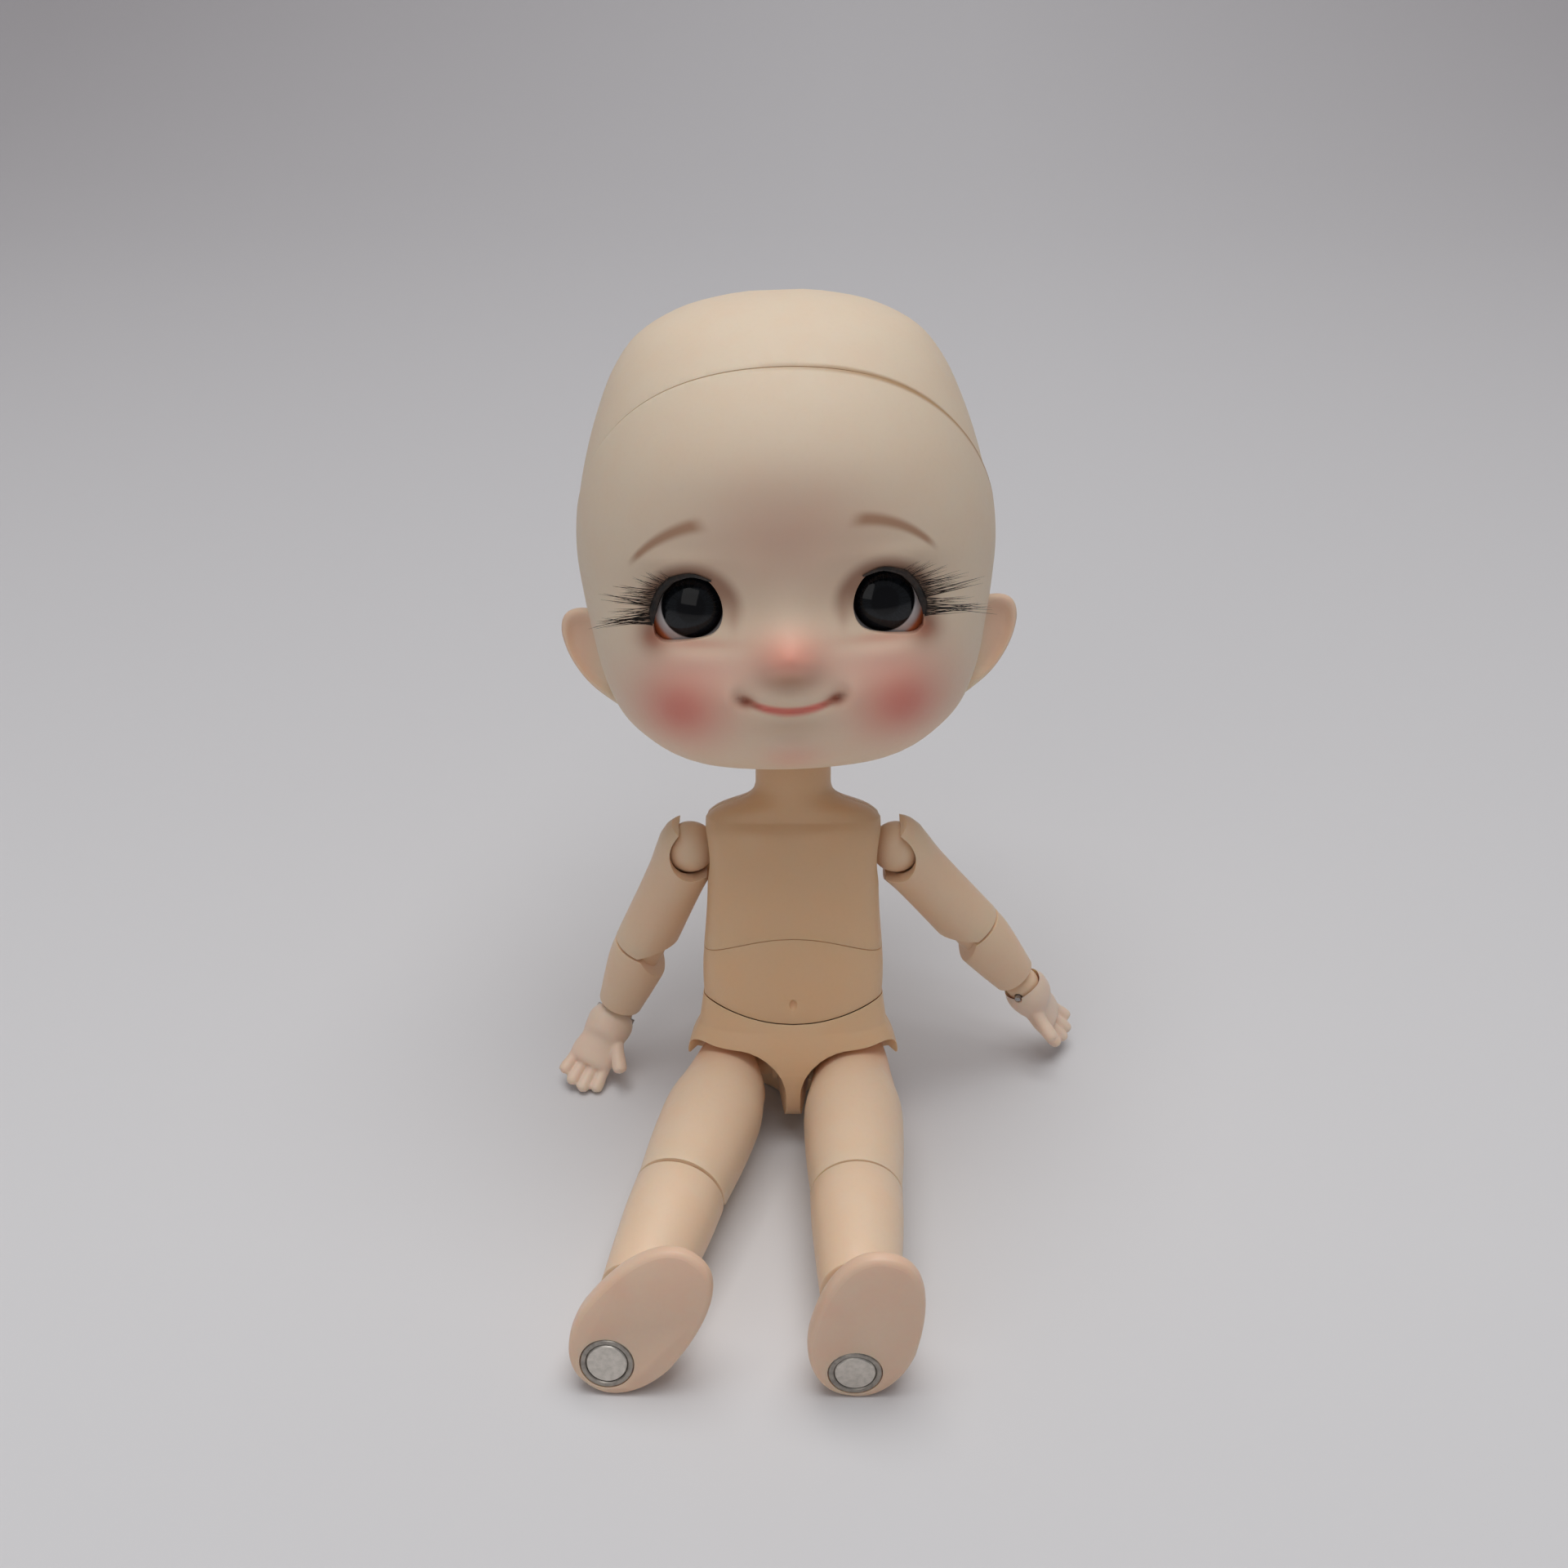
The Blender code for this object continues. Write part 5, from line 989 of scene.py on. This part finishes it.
tilted = node(lashes, "ShaderNodeVectorMath", {0: aim, 1: ruffled}, operation="ADD").outputs[0]
grown = node(lashes, "GeometryNodeInstanceOnPoints", {"Points": given["Roots"], "Instance": carried,
                                                      "Rotation": tilted, "Scale": reach}).outputs[0]
solid = node(lashes, "GeometryNodeRealizeInstances", {0: grown}).outputs[0]
coloured = node(lashes, "GeometryNodeSetMaterial", {"Geometry": solid, "Material": given["Hair"]}).outputs[0]
node(lashes, "NodeGroupOutput", {"Lashes": coloured})
sockets = {item.name: item.identifier for item in lashes.interface.items_tree if item.in_out == "INPUT"}
lid_way = [
    # place along the upper lid: outward and upward from the iris, then the hair's sweep outward and upward
    # and its length
    (1.9, 2.95, 0.66, 0.56, 1.8), (2.6, 2.4, 0.82, 0.42, 3.3), (3.2, 1.75, 0.90, 0.32, 4.6),
    (3.65, 0.95, 0.96, 0.22, 5.4), (4.0, 0.05, 0.98, 0.12, 5.9), (4.2, -0.8, 0.99, 0.04, 6.5),
    (4.2, -1.6, 0.99, 0.0, 8.2)]
band_way = eased([(-1.9, 2.8, 0, 0, 0), (0.0, 3.4, 0, 0, 0)] + lid_way, 30)
band_radii = [0.40 * mm * min(1.0, 0.25 + 2.4 * step / 29, 0.35 + 3.2 * (29 - step) / 29) for step in range(30)]
clumps, strands = 9, 9
for side, sign in side_sign.items():
    band = [lid_point(sign, out, up, 0.16) for out, up, *_ in band_way]
    places, turns, sizes = [], [], []
    for clump in range(clumps):
        out, up, sweep, rise, length_there = eased(lid_way, 91)[round((clump + 0.5) / clumps * 90)]
        way = Vector((sign * sweep, -0.42 + 0.05 * math.sin(clump * 2.3),
                      rise + 0.10 * math.sin(clump * 1.7))).normalized()
        tip = (lid_point(sign, out, up, 0.25)
               + way * length_there * mm * (1.0 + 0.16 * math.sin(clump * 2.9)))
        for number in range(strands):
            start = lid_point(sign, out, up - 0.34 * (number - 4.0) / 4.0, 0.2)
            stray = Vector((0.0, 0.30 * math.sin(number * 1.9), 0.42 * math.sin(number * 2.6))) * mm
            aim_way = tip + stray - start
            places.append(tuple(start))
            turns.append(aim_way.to_track_quat("Z", "Y").to_euler())
            sizes.append(aim_way.length * (1.0 - 0.30 * abs(math.sin(number * 1.3 + clump))))
    roots = bpy.data.meshes.new(side + "_lash_roots")
    roots.from_pydata(places, [], [])
    for label, values in (("aim", turns), ("reach", [(size, size, size) for size in sizes])):
        layer = roots.attributes.new(label, "FLOAT_VECTOR", "POINT")
        for item, value in zip(layer.data, values):
            item.vector = value
    planted_hair = linked(side + "_lash_roots", roots)
    growth = planted_hair.modifiers.new("lashes", "NODES")
    growth.node_group = lashes
    growth[sockets["Strand"]], growth[sockets["Hair"]] = strand, lash_black
    growth[sockets["Ruffle"]], growth[sockets["Seed"]] = 0.035, 7 if sign > 0 else 3
    whole = bmesh.new()
    whole.from_mesh(tube(band, band_radii))
    whole.from_mesh(as_shaped(planted_hair))
    bpy.data.objects.remove(planted_hair, do_unlink=True)
    settled(side + "_lashes", as_mesh(whole), head, "head", lash_black, "lash_hair", side + "_lash_strip",
            edge=0.0)
bpy.data.objects.remove(strand, do_unlink=True)

# Arms: two hollow plastic lengths a side that hinge on pressed ball joints. The shoulder ball turns in the
# chest and carries a short stem on a steel pin, and the elbow's bevel lets the forearm fold.
shoulder_ball_radius, shoulder_cup_radius, shoulder_cup_lip = 2.8 * mm, 3.6 * mm, 0.5 * mm
shoulder_eye_radius, shoulder_eye_thickness = 1.0 * mm, 1.2 * mm
shoulder_pin_radius, shoulder_pin_half, wrist_pin_radius = 0.4 * mm, 2.2 * mm, 0.35 * mm
shoulder_stem_radius, shoulder_stem_length, cup_lean = 0.7 * mm, 6.2 * mm, 40
upper_arm_length, upper_arm_radius, elbow_ball_radius = 13.9 * mm, 3.25 * mm, 2.45 * mm
elbow_radius, elbow_skirt, elbow_pin_radius = 3.3 * mm, 0.7 * mm, 0.4 * mm
forearm_length, wrist_radius, wrist_gap, wrist_ball_radius = 11.4 * mm, 2.5 * mm, 1.9 * mm, 1.95 * mm
wrist_peg, hinge_bevel, fold_edge = (0.7 * mm, 0.0, 4.6 * mm), 42, 0.10 * mm
arm_pose = {
    # shoulder swing and raise, elbow, wrist turn and bend, as the doll sits
    "right": (21.8, 22.4, 2.6, -94.0, -44.5), "left": (25.4, 37.8, 2.4, 145.0, 3.0)}
arm_twist = 75


def knob(radius, stem, segments=48, bands=22):
    """Ball with a peg on top, turned in one piece."""
    meet = math.pi - math.asin(stem[0][0] / radius)
    angles = [meet * band / bands for band in range(1, bands + 1)]
    return lathe([(0.0, -radius)] + [(radius * math.sin(a), -radius * math.cos(a)) for a in angles] + stem[1:],
                 segments)


def bevel_tool(angle, way, up, gap):
    """Half space that takes the corner off a limb on the side it folds to."""
    normal = Vector((0.0, way * math.sin(math.radians(angle)), up * math.cos(math.radians(angle))))
    return beyond(normal, gap, 3.0 * thigh_radius)


def pin_hole(radius, half, way=along_x):
    return moved(rod(radius + pin_clearance, -half - pin_clearance, half + pin_clearance, 24), way)


def upper_limb(length, girth, shares, cup_radius, ball_radius, end_ball, skirt, pin_half, pin_radius, fold):
    """Outer form of an upper arm or thigh with the rooms for the ball above and the ball below."""
    dome = [(0.0, cup_radius)] + arc(cup_radius, range(8, 73, 8))
    side_line = [(girth * wide, -length * way) for way, wide in eased(shares, 26)]
    form = lathe(dome + side_line + [(side_line[-1][0], -length - skirt)], 56)
    room = end_ball + ball_clearance
    lower_room = lathe([(0.0, room)] + arc(room, range(10, 91, 10)) + [(room, -skirt - overrun)], 56)
    return cut(form, ball(ball_radius + ball_clearance, 48, 20), moved(lower_room, shift(z=-length)),
               moved(bevel_tool(hinge_bevel, fold, -1.0, pin_radius + clearance), shift(z=-length)),
               moved(pin_hole(pin_radius, pin_half), shift(z=-length)))


def lower_limb(length, start, end_radius, end_ball, skirt, pin_radius, gap, bore, fold, belly=1.0):
    """Outer form of a forearm or calf: the ball in the upper cup, then the limb down to the next joint's gap."""
    shelf, end = -skirt - clearance, -length + gap
    line = eased([(start, shelf), (start * belly, 0.35 * end), (0.5 * (start * belly + end_radius), 0.70 * end),
                  (end_radius, end + 0.3 * clearance)], 22)
    form = cut(lathe(line + [(0.94 * end_radius, end)], 56), bevel_tool(hinge_bevel, fold, 1.0, -clearance))
    top = lathe([(0.0, end_ball)] + arc(end_ball, range(8, 89, 8))
                + [(end_ball, 0.0), (end_ball, shelf), (end_ball * 0.9, shelf - overrun)], 56)
    return cut(joined(form, top), moved(rod(pin_radius + pin_clearance, -start, start, 24), along_x),
               moved(bore, shift(z=-length)))


upper_arm_shares = [(0.0, 1.105), (0.14, 1.06), (0.30, 1.01), (0.60, 1.00), (1.0, 1.015)]
arm_frame = {}
for side, sign in side_sign.items():
    swing_pose, raise_pose, elbow_pose, wrist_turn, wrist_bend = arm_pose[side]
    ball_frame = seat @ shift(sign * shoulder_place.x, shoulder_place.y, shoulder_place.z) @ turn(swing_pose, "X")
    upper = ball_frame @ turn(-sign * raise_pose, "Y") @ turn(-sign * arm_twist, "Z")
    lower = upper @ shift(z=-upper_arm_length) @ turn(-elbow_pose, "X")
    wrist = lower @ shift(z=-forearm_length) @ turn(wrist_turn, "Z")
    arm_frame[side] = wrist @ turn(wrist_bend, "X")
    arm_plastic = plastic(side + "_arm_plastic", upper, (0.84, 0.62, 0.43), (0.86, 0.58, 0.39))[0]

    slot = sector(10, 85, shoulder_stem_radius + ball_clearance, 2.0 * shoulder_ball_radius,
                  shoulder_eye_thickness + 2.0 * ball_clearance)
    slot = moved(slot, turn(90, "Z"), turn(180 if sign > 0.0 else 0, "Z"))
    half_eye = 0.5 * shoulder_eye_thickness + ball_clearance
    eye_room = moved(rod(shoulder_eye_radius + ball_clearance, -half_eye, half_eye), along_y)
    pin_room = pin_hole(shoulder_pin_radius, shoulder_pin_half, along_y)
    bearing = moved(knob(shoulder_ball_radius, peg(*shoulder_peg)), turn(-sign * 90, "Y"))
    settled(side + "_shoulder_joint", cut(bearing, pin_room, slot, eye_room), ball_frame, side + "_shoulder",
            arm_plastic, "body_plastic", side + "_shoulder_ball", edge=0.06 * mm)

    arm = upper_limb(upper_arm_length, upper_arm_radius, upper_arm_shares, shoulder_cup_radius,
                     shoulder_ball_radius, elbow_ball_radius, elbow_skirt,
                     elbow_ball_radius + ball_clearance + 0.2 * mm, elbow_pin_radius, -1.0)
    facing_in, lean = turn(sign * arm_twist, "Z"), math.radians(cup_lean)
    opening = facing_in @ Vector((-sign * math.sin(lean), 0.0, math.cos(lean)))
    crest = facing_in @ Vector((sign * math.cos(lean), 0.0, math.sin(lean)))
    ball_way = rod(shoulder_ball_radius + ball_clearance, -2.0 * shoulder_cup_radius, 2.0 * shoulder_cup_radius, 48)
    scallop = moved(ball_way, along_y, facing_in, Matrix.Translation(opening * 2.0 * shoulder_cup_lip))
    stem_bore = peg_room(shoulder_stem_radius, -shoulder_ball_radius * 0.8, -shoulder_stem_length, ball_clearance)
    arm = cut(arm, beyond(opening, shoulder_cup_lip, 3.0 * shoulder_cup_radius), scallop, stem_bore,
              beyond(opening + crest, 0.64 * shoulder_cup_radius, 3.0 * shoulder_cup_radius))
    settled(side + "_upper_arm_sleeve", arm, upper, side + "_upper_arm", arm_plastic, "body_plastic",
            side + "_upper_arm", edge=fold_edge)

    wrist_bore = joined(peg_room(*wrist_peg, ball_clearance), ball(wrist_ball_radius + ball_clearance, 40, 20))
    forearm = lower_limb(forearm_length, elbow_radius, wrist_radius, elbow_ball_radius, elbow_skirt,
                         elbow_pin_radius, wrist_gap, wrist_bore, -1.0)
    settled(side + "_forearm_sleeve", forearm, lower, side + "_forearm", arm_plastic, "body_plastic",
            side + "_forearm", edge=fold_edge)
    wrist_joint = cut(knob(wrist_ball_radius, peg(*wrist_peg), 40),
                      pin_hole(wrist_pin_radius, 2.0 * wrist_ball_radius))
    settled(side + "_wrist_joint", wrist_joint, wrist, side + "_wrist", arm_plastic, "body_plastic",
            side + "_wrist_ball", edge=0.05 * mm)

# Hands: solid casts in a paler plastic, hung on the wrist balls by a small steel pin.
# Four fingers lie side by side, the thumb stands off, and the cuff is dished for the ball.
hand_length, palm_width, palm_thickness = 10.0 * mm, 4.9 * mm, 2.7 * mm
finger_radius, thumb_radius, wrist_cup_radius = 0.72 * mm, 0.80 * mm, 2.65 * mm


def grown_together(parts, voxel, rounds):
    """One soft skin over several crossing forms, as a cast has where a finger leaves the palm."""
    form = bmesh.new()
    for part in parts:
        form.from_mesh(part)
    item = linked("cast", as_mesh(form))
    blend = item.modifiers.new("blend", "REMESH")
    blend.mode, blend.voxel_size = "VOXEL", voxel
    soften = item.modifiers.new("soften", "SMOOTH")
    soften.factor, soften.iterations = 0.5, rounds
    result = as_shaped(item)
    bpy.data.objects.remove(item, do_unlink=True)
    return result


def finger(length, radius, curl, steps=12, sides=14):
    """Finger that hangs down from its root and curls forward evenly, with a round tip."""
    rings, at, angle = [], Vector(), 0.0
    for step in range(steps + 1):
        share = step / steps
        tip = math.sqrt(max(0.0, 1.0 - ((share - 0.84) / 0.16) ** 2)) if share > 0.84 else 1.0
        width = radius * (1.0 + 0.05 * math.cos(share * 9.0)) * tip + 0.02 * mm
        turns = [math.tau * s / sides for s in range(sides)]
        rings.append([at + Vector((math.cos(a), 0.92 * math.sin(a), 0.0)) * width for a in turns])
        angle += math.radians(curl) / steps
        at = at + Vector((0.0, -math.sin(angle), -math.cos(angle))) * length / steps
    return skin(rings)


def dish(ball_radius, cup_radius, segments):
    """Room for a ball in the cuff of a hand or foot, open above."""
    wall = [(ball_radius * wide, -ball_radius * low) for wide, low in ((0.42, 0.98), (0.78, 0.78), (1.02, 0.42))]
    rim = ball_radius + clearance
    return lathe([(0.0, -rim), *wall, (rim, 0.0), (rim, cup_radius)], segments)


palm_marks = [
    # share of the hand's length, width, thickness
    (-0.03, 0.86, 1.60), (0.10, 1.08, 1.80), (0.26, 1.02, 1.66), (0.36, 0.96, 1.20), (0.50, 1.06, 1.0),
    (0.62, 1.02, 0.9), (0.67, 0.86, 0.66)]
for side, sign in side_sign.items():
    hand_frame = arm_frame[side]
    hand_plastic = plastic(side + "_hand_plastic", hand_frame, (0.86, 0.68, 0.54), (0.86, 0.60, 0.46), soft=0.3)[0]
    rings = []
    for way, wide, thick in eased(palm_marks, 26):
        half = 0.5 * palm_thickness * thick
        rings.append([point + Vector((0.0, 0.0, -way * hand_length))
                      for point in outline(0.5 * palm_width * wide, half, half, 2.2, 44)])
    cast = [skin(rings)]
    for place, length, lean in ((-1.5, 0.93, -6), (-0.5, 1.0, -2), (0.5, 0.98, 2), (1.5, 0.90, 6)):
        cast.append(moved(finger(hand_length * (length - 0.56), finger_radius, 16), turn(lean, "Y"),
                          turn(-2, "X"),
                          shift(-place * 0.243 * palm_width, 0.1 * mm, -0.56 * hand_length)))
    cast.append(moved(finger(0.43 * hand_length, thumb_radius, 14), turn(sign * 34, "Y"), turn(-14, "X"),
                      shift(-sign * 0.33 * palm_width, -0.2 * palm_thickness, -0.28 * hand_length)))
    hand = cut(grown_together(cast, 0.15 * mm, 3), dish(wrist_ball_radius, wrist_cup_radius, 44),
               pin_hole(wrist_pin_radius, wrist_ball_radius + ball_clearance + 0.12 * mm))
    settled(side + "_hand_cast", hand, hand_frame, side + "_hand", hand_plastic, "hand_plastic", side + "_hand",
            edge=0.0, sharp=55)

# Legs: thigh and calf are turned hollow forms, warmer than the trunk, that hinge at pressed ball joints.
# The thigh's cup is cut back on the inside so that it closes on the hip ball in the pelvis.
hip_ball_radius, hip_cup_lip, hip_cup_lean, hip_pin_radius = 2.9 * mm, 0.8 * mm, 50, 0.45 * mm
knee_radius, knee_ball_radius, knee_skirt, knee_pin_radius = 4.8 * mm, 3.9 * mm, 1.0 * mm, 0.5 * mm
calf_length, calf_radius, ankle_radius, ankle_gap = 17.5 * mm, 4.7 * mm, 4.0 * mm, 2.2 * mm
ankle_ball_radius, ankle_cup_radius, ankle_pin_radius = 2.8 * mm, 4.1 * mm, 0.45 * mm
ankle_peg = (1.1 * mm, 0.0, 6.4 * mm)
leg_pose = {
    # hip swing and spread, knee, ankle turn and pitch, as the doll sits
    "right": (-70.05, 14.0, 2.0, 35.0, -18.0), "left": (-71.15, 0.0, 0.0, 12.0, 0.0)}
foot_frame = {}
for side, sign in side_sign.items():
    swing_pose, spread_pose, knee_pose, turn_pose, pitch_pose = leg_pose[side]
    hip = seat @ shift(sign * hip_half_width, 0.0, hip_height) @ turn(swing_pose, "X")
    upper = hip @ turn(-sign * spread_pose, "Y")
    lower = upper @ shift(z=-thigh_length) @ turn(knee_pose, "X")
    ankle = lower @ shift(z=-calf_length) @ turn(turn_pose, "Z")
    foot_frame[side] = ankle @ turn(pitch_pose, "X")
    leg_plastic, tree, vector, tint = plastic(side + "_leg_plastic", upper, (0.86, 0.66, 0.48),
                                              (0.88, 0.62, 0.42), soft=0.26)
    # a painted glow warms the top of each thigh, next to the hip socket
    painted_socket_glow = product(tree, spread(tree, parted(tree, vector)["Z"], -7.5, -0.5), 0.55)
    tree.links.new(mixed(tree, painted_socket_glow, tint, (0.88, 0.42, 0.22)),
                   tree.nodes["Principled BSDF"].inputs["Base Color"])

    hip_joint = cut(moved(knob(hip_ball_radius, peg(*hip_peg)), turn(-sign * 90, "Y")),
                    pin_hole(hip_pin_radius, 2.0 * hip_ball_radius, along_y))
    settled(side + "_hip_joint", hip_joint, hip, side + "_hip", torso_plastic, "body_plastic",
            side + "_hip_ball", edge=0.06 * mm)
    thigh = upper_limb(thigh_length, thigh_radius, thigh_shares, hip_cup_radius, hip_ball_radius,
                       knee_ball_radius, knee_skirt, knee_ball_radius + ball_clearance + 0.3 * mm,
                       knee_pin_radius, 1.0)
    lean = math.radians(hip_cup_lean)
    thigh = cut(thigh, beyond((-sign * math.sin(lean), 0.0, math.cos(lean)), hip_cup_lip, 3.0 * hip_cup_radius),
                pin_hole(hip_pin_radius, 3.5 * mm, along_y))
    settled(side + "_thigh_sleeve", thigh, upper, side + "_thigh", leg_plastic, "body_plastic", side + "_thigh",
            edge=0.12 * mm)

    ankle_bore = joined(peg_room(*ankle_peg, ball_clearance), ball(ankle_ball_radius + ball_clearance, 44, 20))
    calf = lower_limb(calf_length, knee_radius, ankle_radius, knee_ball_radius, knee_skirt, knee_pin_radius,
                      ankle_gap, ankle_bore, 1.0, calf_radius / knee_radius)
    settled(side + "_calf_sleeve", calf, lower, side + "_calf", leg_plastic, "body_plastic", side + "_calf",
            edge=0.12 * mm)
    ankle_joint = cut(knob(ankle_ball_radius, peg(*ankle_peg), 44),
                      pin_hole(ankle_pin_radius, 2.0 * ankle_ball_radius))
    settled(side + "_ankle_joint", ankle_joint, ankle, side + "_ankle", leg_plastic, "body_plastic",
            side + "_ankle_ball", edge=0.05 * mm)

# Feet: solid casts with a flat sole and a rounded edge, each with a round magnet set in a ring in the heel
# so that the doll can stand on a steel plate.
foot_drop, foot_length, heel_reach, foot_width = 5.6 * mm, 17.6 * mm, 6.4 * mm, 10.6 * mm
heel_magnet_radius, heel_magnet_depth, heel_magnet_back, ring_wall = 2.0 * mm, 1.6 * mm, 3.2 * mm, 0.6 * mm
glue_line = 0.06 * mm
foot_marks = [
    # share of the drop, width, toe reach, heel reach
    (-0.05, 0.77, 0.375, 0.62), (0.08, 0.79, 0.42, 0.66), (0.28, 0.86, 0.62, 0.76), (0.50, 0.96, 0.86, 0.87),
    (0.74, 1.00, 1.00, 0.96), (0.90, 0.99, 1.005, 0.995), (0.965, 0.955, 0.985, 0.985), (1.0, 0.90, 0.955, 0.95)]
for side, sign in side_sign.items():
    foot_plastic = plastic(side + "_foot_plastic", foot_frame[side], (0.83, 0.605, 0.445), (0.85, 0.53, 0.38),
                           soft=0.3)[0]
    rings = []
    for drop, wide, front, back in eased(foot_marks, 34):
        ring = outline(0.5 * foot_width * wide, (foot_length - heel_reach) * front, heel_reach * back, 2.35, 80)
        for point in ring:
            point.z = -min(drop, 1.0) * foot_drop
            point.x *= 1.0 - 0.16 * max(0.0, point.y / heel_reach) * drop
        rings.append(ring)
    ring_radius = heel_magnet_radius + ring_wall
    to_heel = shift(y=heel_magnet_back)
    pocket = moved(rod(ring_radius + glue_line, -foot_drop - overrun, -foot_drop + heel_magnet_depth, 56), to_heel)
    foot = cut(skin(rings), dish(ankle_ball_radius, ankle_cup_radius, 56), pocket,
               pin_hole(ankle_pin_radius, ankle_ball_radius + ball_clearance + 0.35 * mm))
    settled(side + "_foot_cast", foot, foot_frame[side], side + "_foot", foot_plastic, "hand_plastic",
            side + "_foot", edge=0.10 * mm)
    face, floor = -foot_drop, -foot_drop + heel_magnet_depth - clearance
    inner = heel_magnet_radius + glue_line
    collar = lathe([(inner, face + 0.1 * mm), (inner + 0.1 * mm, face), (ring_radius - 0.1 * mm, face),
                    (ring_radius, face + 0.1 * mm), (ring_radius, floor), (inner, floor)], 64, closed=True)
    dark_ring = metal(side + "_heel_ring_steel", foot_frame[side], (0.42, 0.385, 0.34), (0.29, 0.265, 0.24), 0.34)
    disc = lathe([(heel_magnet_radius - 0.12 * mm, face), (heel_magnet_radius, face + 0.12 * mm),
                  (heel_magnet_radius, floor)], 64)
    bright = metal(side + "_heel_nickel", foot_frame[side], (0.71, 0.66, 0.60), (0.58, 0.545, 0.49), 0.30)
    for piece, form, look, node_name in (("_heel_collar", collar, dark_ring, "_heel_ring"),
                                         ("_heel_disc", disc, bright, "_heel_magnet")):
        settled(side + piece, moved(form, to_heel), foot_frame[side], side + "_foot", look, "magnet_nickel",
                side + node_name, edge=0.0, sharp=30)

# Steel pins: drawn wire cut to length, one across every hinge; only their ends show in the joints.
painted(metal("pin_steel", seat, (0.50, 0.50, 0.50), (0.33, 0.33, 0.34), 0.28),
        *(side + "_" + pin + "_pin" for side in side_sign
          for pin in ("shoulder", "elbow", "wrist", "hip", "knee", "ankle")))
